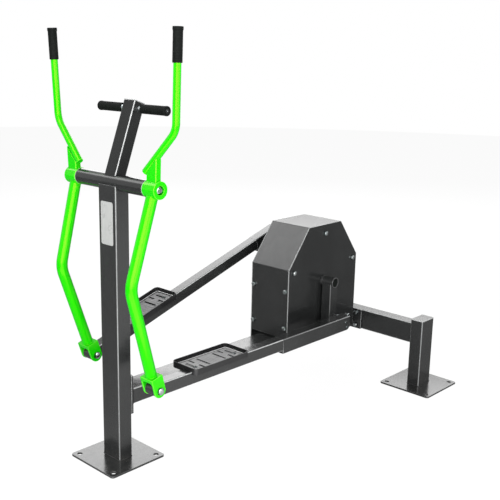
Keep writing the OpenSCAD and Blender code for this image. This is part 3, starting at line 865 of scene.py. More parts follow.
@dataclass(frozen=True)
class ZincPlate(Finish):
    """Zinc plated steel with fine turning marks and cloudy passivation."""

    cool: Triple = (0.42, 0.5, 0.5)
    rough: Pair = (0.1, 0.22)
    mark_per_m: float = 900.0
    mark_depth: float = 0.00003
    cloud_per_m: float = 110.0
    spot_per_m: float = 420.0

    def wire(self, skin: Skin) -> None:
        """Wire colour, gloss and relief.

        Args:
            skin: The material being wired.
        """
        clouds = skin.noise(skin.place, self.cloud_per_m, 4.0, 0.6)
        colour = skin.blend(skin.span(clouds, 0.32, 0.68, 0, 1), (*self.colour, 1.0), (*self.cool, 1.0))
        spots = skin.span(skin.noise(skin.place, self.spot_per_m, 3.0, 0.7), 0.6, 0.78, 0, 0.4)
        colour = skin.blend(spots, colour, (*(c * 0.55 for c in self.colour), 1.0))
        skin.paint("Base Color", colour)
        marks = skin.noise(skin.stretched(skin.place, (0.25, 1, 1)), self.mark_per_m, 2.0)
        skin.paint("Roughness", skin.span(clouds, 0.25, 0.75, self.rough[0], self.rough[1]))
        skin.paint("Normal", skin.bump(marks, self.mark_depth))
        skin.paint("Metallic", 1.0)


@dataclass(frozen=True)
class Moulded(Finish):
    """Moulded rubber or plastic with a fine grain, duller places, and rubbed edges painted paler, partly wear
    and partly a painted highlight.
    """

    paler_tone: Triple
    rough: Pair
    grain_per_m: float
    grain_depth: float
    ior: float
    wear_and_shine: float = 0.5
    # The paler tone times this gives the painted highlight on the rounds of edges
    edge_gain: float = 1.8
    cloud_per_m: float = 26.0
    rub_and_shine_per_m: float = 90.0

    def wire(self, skin: Skin) -> None:
        """Wire colour, gloss and relief.

        Args:
            skin: The material being wired.
        """
        clouds = skin.noise(skin.place, self.cloud_per_m, 5.0, 0.65)
        colour = skin.blend(skin.span(clouds, 0.3, 0.7, 0, 0.6), (*self.colour, 1.0), (*self.paler_tone, 1.0))
        # Painted highlight, partly wear: where rub noise allows, the rounds of edges turn paler
        edge = skin.edge()
        rub_and_shine = skin.span(skin.noise(skin.place, self.rub_and_shine_per_m, 4.0, 0.7), 0.3, 0.6, 0, self.wear_and_shine)
        bright = (*(c * self.edge_gain for c in self.paler_tone), 1.0)
        colour = skin.blend(skin.mul(edge, rub_and_shine), colour, bright)
        skin.paint("Base Color", colour)
        skin.paint("Roughness", skin.span(clouds, 0.3, 0.75, self.rough[0], self.rough[1]))
        cells = {"Vector": skin.place, "Scale": self.grain_per_m}
        grain = skin.node("ShaderNodeTexVoronoi", cells, feature="F1").outputs["Distance"]
        fine = skin.noise(skin.place, self.grain_per_m * 2.2, 2.0)
        under = skin.bump(fine, self.grain_depth * 0.5)
        skin.paint("Normal", skin.bump(grain, self.grain_depth, 0.8, under))
        skin.paint("IOR", self.ior)


@dataclass(frozen=True)
class CastIron(Finish):
    """Grey iron as cast, dull and pitted."""

    rust: Triple = (0.16, 0.07, 0.03)
    pit_per_m: float = 320.0
    pit_depth: float = 0.0003
    rust_per_m: float = 14.0

    def wire(self, skin: Skin) -> None:
        """Wire colour, gloss and relief.

        Args:
            skin: The material being wired.
        """
        pits = skin.noise(skin.place, self.pit_per_m, 5.0, 0.7)
        rust = skin.span(skin.noise(skin.place, self.rust_per_m, 5.0, 0.7), 0.56, 0.74, 0, 0.5)
        colour = skin.blend(pits, (*self.colour, 1.0), (*(c * 1.5 for c in self.colour), 1.0))
        skin.paint("Base Color", skin.blend(rust, colour, (*self.rust, 1.0)))
        skin.paint("Roughness", skin.span(pits, 0.3, 0.7, 0.42, 0.66))
        skin.paint("Normal", skin.bump(pits, self.pit_depth))
        skin.paint("Metallic", 0.7)


POWDER = PowderCoat("dark_powder", Slot.POWDER, (0.0105, 0.011, 0.011), base_ior=1.48)
SHEET_COAT = PowderCoat("sheet_coat", Slot.POWDER, (0.0095, 0.01, 0.01), base_ior=1.34, rough=(0.2, 0.25))
SHELL_COAT = PowderCoat("shell_coat", Slot.POWDER, (0.0125, 0.013, 0.013), base_ior=1.5, coat=0.0)
# Darker copy of the black coat for the upper post: painted shade
POST_SHADED_COAT = PowderCoat("post_coat_shaded", Slot.POWDER, (0.008, 0.0085, 0.0085), base_ior=1.25, coat=0.1)
WELD_COAT = PowderCoat(
    "weld_coat", Slot.POWDER, (0.01, 0.0105, 0.0105), (0.1, 0.1, 0.1), base_ior=1.3, rough=(0.4, 0.5),
    coat=0.0, edge_highlight_base=0.0,
)
# The green's edge colour and edge base set its painted edge highlight
GREEN = PowderCoat(
    "green_powder", Slot.GREEN, (0.0005, 0.36, 0.0002), (0.2, 1.0, 0.05), (1.0, 1.0, 0.12), base_ior=1.5,
    rough=(0.15, 0.19), coat=0.0, variation=0.03, flakes=0.02, wear_and_shine=0.2, edge=(0.35, 1.0, 0.1),
    edge_highlight_base=0.25, peel_depth=0.000002, dust=(0.15, 0.6, 0.08),
)
ZINC = ZincPlate("bright_zinc", Slot.ZINC, (0.6, 0.61, 0.62))
# Zinc painted near black for washers: painted shade, the dark reflection of their surroundings
SHADED_ZINC = ZincPlate("zinc_painted_dark", Slot.ZINC, (0.05, 0.055, 0.055), (0.03, 0.036, 0.036))
BOLT_ZINC = ZincPlate("bolt_zinc", Slot.ZINC, (0.5, 0.51, 0.51), (0.3, 0.36, 0.36), (0.05, 0.1))
BOLT_BLACK = ZincPlate("bolt_black", Slot.ZINC, (0.09, 0.1, 0.1), (0.05, 0.06, 0.06), (0.2, 0.32))
RUBBER = Moulded(
    "grip_rubber", Slot.RUBBER, (0.003, 0.0038, 0.0033), (0.006, 0.007, 0.0064), (0.45, 0.6), 900.0,
    0.0001, 1.13,
)
# Near-black fill for the tray's slots: painted shade of their depth
SLOT_SHADE = Moulded(
    "slot_shade_black", Slot.PLASTIC, (0.002, 0.002, 0.002), (0.004, 0.004, 0.004), (0.5, 0.65), 900.0,
    0.00005, 1.02,
)
# Strong painted highlight on the tray's rounded rims, edge gain 6
PLASTIC = Moulded(
    "tray_plastic", Slot.PLASTIC, (0.005, 0.005, 0.0053), (0.009, 0.009, 0.0095), (0.2, 0.28), 700.0, 0.00002,
    1.45, 0.6, 6.0,
)
TREAD = Moulded(
    "tread_plastic", Slot.PLASTIC, (0.06, 0.06, 0.062), (0.19, 0.19, 0.192), (0.28, 0.38), 650.0,
    0.00005, 1.45,
)
# Light plastic for the ledge's lip: a painted highlight of the lit ledge
LIP_HIGHLIGHT = Moulded(
    "lip_painted_highlight", Slot.PLASTIC, (0.6, 0.6, 0.605), (0.75, 0.75, 0.755), (0.25, 0.35), 650.0, 0.00002, 1.5
)
NYLON = Moulded(
    "bush_nylon", Slot.NYLON, (0.1, 0.1, 0.1), (0.16, 0.16, 0.16), (0.36, 0.5), 1100.0, 0.00003, 1.53
)
WHITE = Moulded(
    "label_white", Slot.WHITE, (0.24, 0.245, 0.24), (0.27, 0.27, 0.265), (0.25, 0.4), 500.0,
    0.00002, 1.45, 0.0,
)
IRON = CastIron("cast_iron", Slot.IRON, (0.09, 0.09, 0.092))


# -------- finished pieces

ROUND_W = 3.2  # widest face that counts as the round of an edge
ROUND_BEND = math.radians(10)  # least bend at both its sides
UNKNOWN = 9
# Strength of the painted edge highlight on each face
EDGE_SHARE = {0: 0.0, 1: 0.45, 2: 1.0, UNKNOWN: 0.7}  # by the steps from a flat face


def mark_edges(mesh: bpy.types.Mesh, shine: float) -> None:
    """Write a face attribute that grows across the round of an edge, for the painted edge highlight.

    Args:
        mesh: The mesh, in millimetres.
        shine: Its value in the middle of a round, the strength of the painted highlight.
    """
    bm = bmesh.new()
    bm.from_mesh(mesh)
    depth = {}
    for face in bm.faces:
        sides = sorted(face.edges, key=lambda e: e.calc_length(), reverse=True)[:2]
        narrow = face.calc_area() < ROUND_W * sides[0].calc_length()
        bent = all(e.calc_face_angle(0.0) > ROUND_BEND for e in sides)
        depth[face] = UNKNOWN if narrow and bent else 0
    for step in (1, 2):
        unknown = [f for f, d in depth.items() if d == UNKNOWN]
        ring = [f for f in unknown if any(depth[n] == step - 1 for e in f.edges for n in e.link_faces)]
        depth.update((f, step) for f in ring)
    values = [shine * EDGE_SHARE[depth[f]] for f in bm.faces]
    bm.free()
    attribute = mesh.attributes.new("edge", "FLOAT", "FACE")
    attribute.data.foreach_set("value", values)


def settle(mesh: bpy.types.Mesh, name: str) -> bpy.types.Mesh:
    """Smooth the shading of a mesh and keep its flat faces flat.

    Args:
        mesh: The mesh to finish.
        name: Name of the result.

    Returns:
        A new mesh with its face directions stored.
    """
    mesh.shade_smooth()
    mesh.set_sharp_from_angle(angle=math.radians(SMOOTH_ANGLE))
    holder = bpy.data.objects.new("settle", mesh)
    show(holder)
    weigh = holder.modifiers.new("weigh", "WEIGHTED_NORMAL")
    weigh.keep_sharp = True
    weigh.weight = 60
    graph = bpy.context.evaluated_depsgraph_get()
    result = bpy.data.meshes.new_from_object(holder.evaluated_get(graph), depsgraph=graph)
    bpy.data.objects.remove(holder)
    bpy.data.meshes.remove(mesh)
    result.name = name
    return result


def place_piece(
    mesh: bpy.types.Mesh, name: str, body: str, nodes: Sequence[str] = (), shine: float = 1.0
) -> None:
    """Put a mesh drawn in millimetres into the scene as one piece.

    Args:
        mesh: The mesh, in its place, with its material.
        name: Name of the piece.
        body: The body that it rides on.
        nodes: Solids that it stands for.
        shine: How strongly the painted highlight shows on its round edges.
    """
    mark_edges(mesh, shine)
    mesh.transform(Matrix.Scale(MM, 4))
    result = settle(mesh, name)
    piece = bpy.data.objects.new(name, result)
    show(piece)
    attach(piece, body)
    if nodes:
        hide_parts(*nodes)
    LOG.info("%s: %d faces on %s", name, len(result.polygons), body)


def make_piece(
    shape: Shape, name: str, body: str, finish: Finish, nodes: Sequence[str] = (),
    place: Matrix | None = None, shine: float = 1.0,
) -> None:
    """Turn a shape into one piece.

    Args:
        shape: The shape. It is used up.
        name: Name of the piece.
        body: The body that it rides on.
        finish: Its finish.
        nodes: Solids that it stands for.
        place: Where it goes, in millimetres.
        shine: How strongly the painted highlight shows on its round edges.
    """
    if place is not None:
        shape.move(place)
    mesh = bpy.data.meshes.new(name)
    shape.bm.to_mesh(mesh)
    shape.bm.free()
    mesh.materials.append(finish.material())
    place_piece(mesh, name, body, nodes, shine)


def dress(
    shape: Shape, node: str, body: str, finish: Finish, place: Matrix | None = None, shine: float = 1.0,
) -> None:
    """Turn a shape into the piece that stands for one solid, as make_piece does."""
    make_piece(shape, node + "_dressed", body, finish, [node], place, shine)


def dress_solid(node: str, finish: Finish) -> None:
    """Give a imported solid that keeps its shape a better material."""
    for entry in bpy.data.objects[node].material_slots:
        entry.material = finish.material()


# -------- geometry nodes


class Tree:
    """A geometry tree with named inputs, run on points or paths."""

    def __init__(self, name: str, sizes: dict[str, float], whole: dict[str, int] | None = None) -> None:
        """Args:
            name: Name of the tree.
            sizes: Named lengths with their defaults.
            whole: Named whole numbers with their defaults.
        """
        self.tree = bpy.data.node_groups.new(name, "GeometryNodeTree")
        face = self.tree.interface
        face.new_socket("Geometry", in_out="INPUT", socket_type="NodeSocketGeometry")
        self.keys: dict[str, str] = {}
        finishes = {"Finish": None, "Washer finish": None}
        for kind, values in (("Float", sizes), ("Int", whole or {}), ("Material", finishes)):
            for label, value in values.items():
                entry = face.new_socket(label, in_out="INPUT", socket_type="NodeSocket" + kind)
                entry.default_value = value
                self.keys[label] = entry.identifier
        face.new_socket("Geometry", in_out="OUTPUT", socket_type="NodeSocketGeometry")
        self.graph = Graph(self.tree)
        self.start = self.graph.node("NodeGroupInput").outputs

    def named(self, name: str, kind: str) -> Socket:
        """Return a value that the points or the faces carry."""
        return self.graph.out("GeometryNodeInputNamedAttribute", {"Name": name}, data_type=kind)

    def facing(self) -> Socket:
        """Return the turn that lays Z along each point's aim."""
        inputs = {"Vector": self.named("aim", "FLOAT_VECTOR")}
        return self.graph.out("FunctionNodeAlignRotationToVector", inputs, axis="Z")

    def end(self, made: Socket) -> None:
        """Finish the tree with real geometry and its materials.

        Args:
            made: The geometry, with faces named washer where they take the second finish.
        """
        real = self.graph.out("GeometryNodeRealizeInstances", {0: made})
        inputs = {"Geometry": real, "Material": self.start["Finish"]}
        dressed = self.graph.out("GeometryNodeSetMaterial", inputs)
        washer = self.named("washer", "BOOLEAN")
        inputs = {"Geometry": dressed, "Selection": washer, "Material": self.start["Washer finish"]}
        dressed = self.graph.out("GeometryNodeSetMaterial", inputs)
        self.graph.node("NodeGroupOutput", {0: dressed})

    def run(self, seed_mesh: bpy.types.Mesh, values: dict[str, object]) -> bpy.types.Mesh:
        """Run the tree on a mesh.

        Args:
            seed_mesh: Points or paths in millimetres. It is used up.
            values: Values by input name.

        Returns:
            The plain mesh that comes out.
        """
        holder = bpy.data.objects.new("seed", seed_mesh)
        modifier = holder.modifiers.new("tree", "NODES")
        modifier.node_group = self.tree
        for label, value in values.items():
            modifier[self.keys[label]] = value
        show(holder)
        graph = bpy.context.evaluated_depsgraph_get()
        result = bpy.data.meshes.new_from_object(holder.evaluated_get(graph), depsgraph=graph)
        holder.modifiers.remove(modifier)
        bpy.data.objects.remove(holder)
        bpy.data.meshes.remove(seed_mesh)
        return result


def seed_points(spots: Sequence[Spot]) -> bpy.types.Mesh:
    """Make loose points that know where they aim.

    Args:
        spots: Place and outward direction of each.

    Returns:
        The mesh, with the directions in its attribute named aim.
    """
    mesh = bpy.data.meshes.new("points")
    mesh.from_pydata([p for p, _ in spots], [], [])
    aim = mesh.attributes.new("aim", "FLOAT_VECTOR", "POINT")
    aim.data.foreach_set("vector", [c for _, d in spots for c in d.normalized()])
    return mesh


def seed_paths(paths: Sequence[Path]) -> bpy.types.Mesh:
    """Make edges that run along paths.

    Args:
        paths: Points of each, and whether it closes.

    Returns:
        The mesh.
    """
    points: list[Vector] = []
    edges: list[tuple[int, int]] = []
    for path, closed in paths:
        first = len(points)
        points.extend(path)
        edges.extend((first + i, first + i + 1) for i in range(len(path) - 1))
        if closed:
            edges.append((len(points) - 1, first))
    mesh = bpy.data.meshes.new("paths")
    mesh.from_pydata(points, edges, [])
    return mesh


class HexHeads(Tree):
    """Hexagon heads or nuts with a round chamfer, each on its washer."""

    FLAT_SHARE = 0.45  # of half the width, the radius of the flat top
    CUT_SHARE = 0.55  # of what the corners stand out, the chamfer's height
    THREAD_SINK = 1.5  # how deep the thread starts in the head

    def __init__(self) -> None:
        """Wire the tree once."""
        sizes = {
            "Across": 19.2, "Height": 7.8, "Washer diameter": 25.2, "Washer thickness": 2.0,
            "Thread diameter": 12.0, "Thread length": 0.0,
        }
        super().__init__("hex_heads", sizes, {"Seed": 3})
        g, s = self.graph, self.start
        head = self._head()
        disc = self._disc(s["Washer diameter"], s["Washer thickness"], 0.0)
        tag = {"Geometry": disc, "Name": "washer", "Value": True}
        washer = g.out("GeometryNodeStoreNamedAttribute", tag, data_type="BOOLEAN", domain="FACE")
        inside = g.add(s["Washer thickness"], g.sub(s["Height"], self.THREAD_SINK))
        thread = self._disc(s["Thread diameter"], g.add(s["Thread length"], 1.0), inside)
        join = g.node("GeometryNodeJoinGeometry")
        for part in (head, washer, thread):
            g.tree.links.new(part, join.inputs[0])
        draw = {"Seed": s["Seed"], 2: 0.0, 3: math.tau}
        angle = g.node("FunctionNodeRandomValue", draw, data_type="FLOAT").outputs[1]
        spin = g.out("FunctionNodeAxisAngleToRotation", {"Angle": angle})
        turns = {0: self.facing(), 1: spin}
        both = g.out("FunctionNodeRotateRotation", turns, rotation_space="LOCAL")
        inputs = {"Points": s["Geometry"], "Instance": join.outputs[0], "Rotation": both}
        self.end(g.out("GeometryNodeInstanceOnPoints", inputs))

    def _disc(self, diameter: object, height: object, base: object) -> Socket:
        """Draw a disc with a small chamfer.

        Args:
            diameter: Its diameter.
            height: Its height.
            base: Where it starts on Z.

        Returns:
            Its geometry.
        """
        g = self.graph
        sizes = {"Vertices": 40, "Side Segments": 3, "Radius": g.div(diameter, 2.0), "Depth": 3.0}
        disc = g.node("GeometryNodeMeshCylinder", sizes, fill_type="NGON")
        spot = g.position()
        level = g.math("ABSOLUTE", spot["Z"])
        outer = g.math("GREATER_THAN", level, 1.0)
        shrink = g.sub(1.0, g.mul(outer, 0.05))
        rise = g.mul(g.math("SIGN", spot["Z"]), g.add(0.38, g.mul(outer, 0.12)))
        z = g.add(base, g.mul(height, g.add(0.5, rise)))
        return g.shaped(disc, g.mul(spot["X"], shrink), g.mul(spot["Y"], shrink), z)

    def _head(self) -> Socket:
        """Draw a hexagon whose upper corners are cut by a cone.

        Returns:
            Its geometry.
        """
        g, s = self.graph, self.start
        sizes = {"Vertices": 48, "Side Segments": 2, "Radius": 1.0, "Depth": 2.0}
        blank = g.node("GeometryNodeMeshCylinder", sizes, fill_type="NGON")
        spot = g.position()
        angle = g.math("ARCTAN2", spot["Y"], spot["X"])
        part = g.sub(g.math("FLOORED_MODULO", angle, math.pi / 3), math.pi / 6)
        half = g.div(s["Across"], 2.0)
        hex_r = g.div(half, g.math("COSINE", part))
        flat_r = g.mul(half, self.FLAT_SHARE)
        top = g.math("GREATER_THAN", spot["Z"], 0.5)
        middle = g.math("GREATER_THAN", spot["Z"], -0.5)
        radius = g.add(hex_r, g.mul(top, g.sub(flat_r, hex_r)))
        cut = g.mul(g.sub(hex_r, flat_r), self.CUT_SHARE)
        lower = g.mul(g.sub(middle, top), g.sub(s["Height"], cut))
        z = g.add(s["Washer thickness"], g.add(lower, g.mul(top, s["Height"])))
        x, y = g.mul(radius, g.math("COSINE", angle)), g.mul(radius, g.math("SINE", angle))
        return g.shaped(blank, x, y, z)


class WeldBeads(Tree):
    """Rippled weld beads along paths."""

    def __init__(self) -> None:
        """Wire the tree once."""
        super().__init__("weld_beads", {"Bead radius": 3.2, "Ripple": 0.16, "Pitch": 3.4})
        g, s = self.graph, self.start
        line = g.out("GeometryNodeMeshToCurve", {"Mesh": s["Geometry"]})
        step = g.div(s["Pitch"], 3.0)
        even = g.out("GeometryNodeResampleCurve", {"Curve": line, "Length": step}, mode="LENGTH")
        run = g.node("GeometryNodeSplineParameter").outputs["Length"]
        phase = g.div(g.mul(run, math.tau), s["Pitch"])
        wave = g.add(1.0, g.mul(s["Ripple"], g.math("SINE", phase)))
        fat = g.out("GeometryNodeSetCurveRadius", {"Curve": even, "Radius": wave})
        ring = g.node("GeometryNodeCurvePrimitiveCircle", {"Resolution": 8, "Radius": s["Bead radius"]})
        inputs = {"Curve": fat, "Profile Curve": ring.outputs[0], "Scale": wave, "Fill Caps": True}
        self.end(g.out("GeometryNodeCurveToMesh", inputs))


class RibbedGrip(Tree):
    """A rubber grip along Z, whose fine ribs follow a rule and stop short of its ends."""

    EDGE_R = 2.4  # radius of the round at both ends
    PLAIN_NECK = 4.0  # plain length before the flange

    def __init__(self) -> None:
        """Wire the tree once."""
        sizes = {
            "Length": 115.0, "Diameter": 34.0, "Rib pitch": 3.6, "Rib depth": 0.45,
            "Flange diameter": 36.5, "Flange length": 12.0, "Plain end": 9.0,
        }
        super().__init__("ribbed_grip", sizes)
        g, s = self.graph, self.start
        fine = {"Vertices": 48, "Side Segments": 230, "Radius": 1.0, "Depth": 1.0}
        tube = g.node("GeometryNodeMeshCylinder", fine, fill_type="NGON")
        spot = g.position()
        z = g.mul(g.add(spot["Z"], 0.5), s["Length"])
        flange_from = g.sub(s["Length"], s["Flange length"])
        phase = g.mul(g.div(z, s["Rib pitch"]), math.pi)
        wave = g.math("ABSOLUTE", g.math("SINE", phase))
        groove = g.mul(g.math("POWER", g.sub(1.0, wave), 2.0), s["Rib depth"])
        above = g.math("GREATER_THAN", z, s["Plain end"])
        below = g.math("LESS_THAN", z, g.sub(flange_from, self.PLAIN_NECK))
        groove = g.mul(groove, g.mul(above, below))
        on_flange = g.math("GREATER_THAN", z, flange_from)
        extra = g.mul(on_flange, g.sub(s["Flange diameter"], s["Diameter"]))
        radius = g.sub(g.div(g.add(s["Diameter"], extra), 2.0), groove)
        to_end = g.math("MINIMUM", z, g.sub(s["Length"], z))
        near = g.math("MAXIMUM", g.sub(1.0, g.div(to_end, self.EDGE_R)), 0.0)
        arc = g.sub(1.0, g.math("SQRT", g.sub(1.0, g.mul(near, near))))
        radius = g.sub(radius, g.mul(arc, self.EDGE_R))
        body = g.shaped(tube, g.mul(spot["X"], radius), g.mul(spot["Y"], radius), z)
        inputs = {"Points": s["Geometry"], "Instance": body, "Rotation": self.facing()}
        self.end(g.out("GeometryNodeInstanceOnPoints", inputs))


class TreadBars(Tree):
    """Half round anti slip bars laid across a tray, evenly spaced along Y."""

    def __init__(self) -> None:
        """Wire the tree once."""
        sizes = {"Bar length": 90.0, "Bar width": 3.2, "Bar height": 1.3, "Spacing": 14.0}
        super().__init__("tread_bars", sizes, {"Bars": 9})
        g, s = self.graph, self.start
        half = g.div(s["Bar length"], 2.0)
        ends = {"Start": g.vector(g.mul(half, -1.0)), "End": g.vector(half)}
        line = g.out("GeometryNodeCurvePrimitiveLine", ends)
        round_bar = {"Resolution": 12, "Radius": g.div(s["Bar width"], 2.0)}
        ring = g.out("GeometryNodeCurvePrimitiveCircle", round_bar)
        inputs = {"Curve": line, "Profile Curve": ring, "Fill Caps": True}
        bar = g.out("GeometryNodeCurveToMesh", inputs)
        squash = g.div(g.mul(s["Bar height"], 2.0), s["Bar width"])
        inputs = {"Geometry": bar, "Scale": g.vector(1.0, 1.0, squash)}
        bar = g.out("GeometryNodeTransform", inputs)
        first = g.mul(g.mul(g.sub(s["Bars"], 1.0), s["Spacing"]), -0.5)
        inputs = {
            "Count": s["Bars"], "Start Location": g.vector(0.0, first), "Offset": g.vector(0.0, s["Spacing"]),
        }
        row = g.out("GeometryNodeMeshLine", inputs, mode="OFFSET")
        bars = g.out("GeometryNodeInstanceOnPoints", {"Points": row, "Instance": bar})
        inputs = {"Points": s["Geometry"], "Instance": bars}
        self.end(g.out("GeometryNodeInstanceOnPoints", inputs))


@dataclass
class Workshop:
    """The trees that repeat work, made once, and the pieces that come from them."""

    heads: HexHeads = field(default_factory=HexHeads)
    beads: WeldBeads = field(default_factory=WeldBeads)
    grips: RibbedGrip = field(default_factory=RibbedGrip)
    bars: TreadBars = field(default_factory=TreadBars)

    def bolts(
        self, name: str, body: str, spots: Sequence[Spot], nodes: Sequence[str] = (), **sizes: float
    ) -> None:
        """Set zinc plated hexagon heads on a body.

        Args:
            name: Name of the piece.
            body: The body that it rides on.
            spots: Place of each washer's foot and the direction it faces.
            nodes: Solids that they stand for.
            **sizes: Sizes with the inputs' names in lower case and underscores.
        """
        values: dict[str, object] = {k.replace("_", " ").capitalize(): v for k, v in sizes.items()}
        values["Finish"] = BOLT_ZINC.material()
        # Washers take the near-black zinc, a painted dark reflection
        values["Washer finish"] = SHADED_ZINC.material()
        place_piece(self.heads.run(seed_points(spots), values), name, body, nodes)

    def welds(self, name: str, body: str, paths: Sequence[Path], finish: Finish, radius: float) -> None:
        """Lay weld beads on a body.

        Args:
            name: Name of the piece.
            body: The body that it rides on.
            paths: Points of each bead, and whether it closes.
            finish: Their finish.
            radius: Radius of a bead.
        """
        values = {"Bead radius": radius, "Finish": finish.material()}
        place_piece(self.beads.run(seed_paths(paths), values), name, body, shine=0.0)

    def grip(
        self, node: str, body: str, place: Matrix, start: float, sign: int, size: Pair, flange: Pair
    ) -> None:
        """Slide a ribbed grip on a tube that lies along Z.

        Args:
            node: The solid that it stands for.
            body: The body that it rides on.
            place: Place of the tube.
            start: Where the grip starts on Z.
            sign: 1 where it runs towards +Z, -1 the other way.
            size: Its length and diameter.
            flange: Length and diameter of its flange.
        """
        aim = (place.to_3x3() @ Vector((0, 0, sign))).normalized()
        values = {
            "Length": size[0], "Diameter": size[1], "Flange length": flange[0], "Flange diameter": flange[1],
            "Finish": RUBBER.material(),
        }
        mesh = self.grips.run(seed_points([(place @ Vector((0, 0, start)), aim)]), values)
        place_piece(mesh, node + "_dressed", body, [node])


def ring_path(place: Matrix, section: Section, grow: float, z: float = 0.0) -> Path:
    """Return a closed path round a section.

    Args:
        place: Where the section lies, its plane across Z.
        section: The outline.
        grow: How far the path stands outside it.
        z: Height of the path along Z.

    Returns:
        Points and True.
    """
    return [place @ p for p in raised(section.ring(-grow), z)], True


def saddle_path(place: Matrix, branch: Sequence[Point], pipe_d: float, off: float = 0.0) -> Path:
    """Return the path where a tube standing on Z meets a pipe across it.

    Args:
        place: Place of the crossing, with Z along the tube.
        branch: Outline of the tube.
        pipe_d: Diameter of the pipe.
        off: How far the tube stands from the pipe's middle, along Y.

    Returns:
        Points and True.
    """
    heights = [math.sqrt(max((pipe_d / 2) ** 2 - (off + y) ** 2, 0.0)) for _, y in branch]
    return [place @ Vector((x, y, z)) for (x, y), z in zip(branch, heights)], True


# -------- turned profiles

# Radius and height of each corner, from the foot to the middle of the top.
BAR_PLUG = [(7.2, -0.6), (7.2, 0.1), (6.6, 0.25), (3.2, 0.25), (3.0, -0.1), (2.6, -0.1)]
BAR_STUD = [(1.7, -0.8), (1.7, 0.0), (1.2, 0.25)]
CRANK_CAP = [(19.6, 0), (20, 0.4), (20, 5), (19, 6), (14, 6), (13.4, 5.2), (6, 5.2)]
BUTTON_HEAD = [(7.6, -0.5), (8.0, 0.2), (7.7, 1.6), (6.2, 3.2), (4.0, 3.9), (3.4, 3.9), (3.2, 1.6)]
TRAY_BOLT_HEAD = [(8.0, 0.0), (8.0, 1.4), (7.0, 3.0), (5.0, 3.8), (3.6, 3.9), (3.4, 1.8)]


# -------- frame


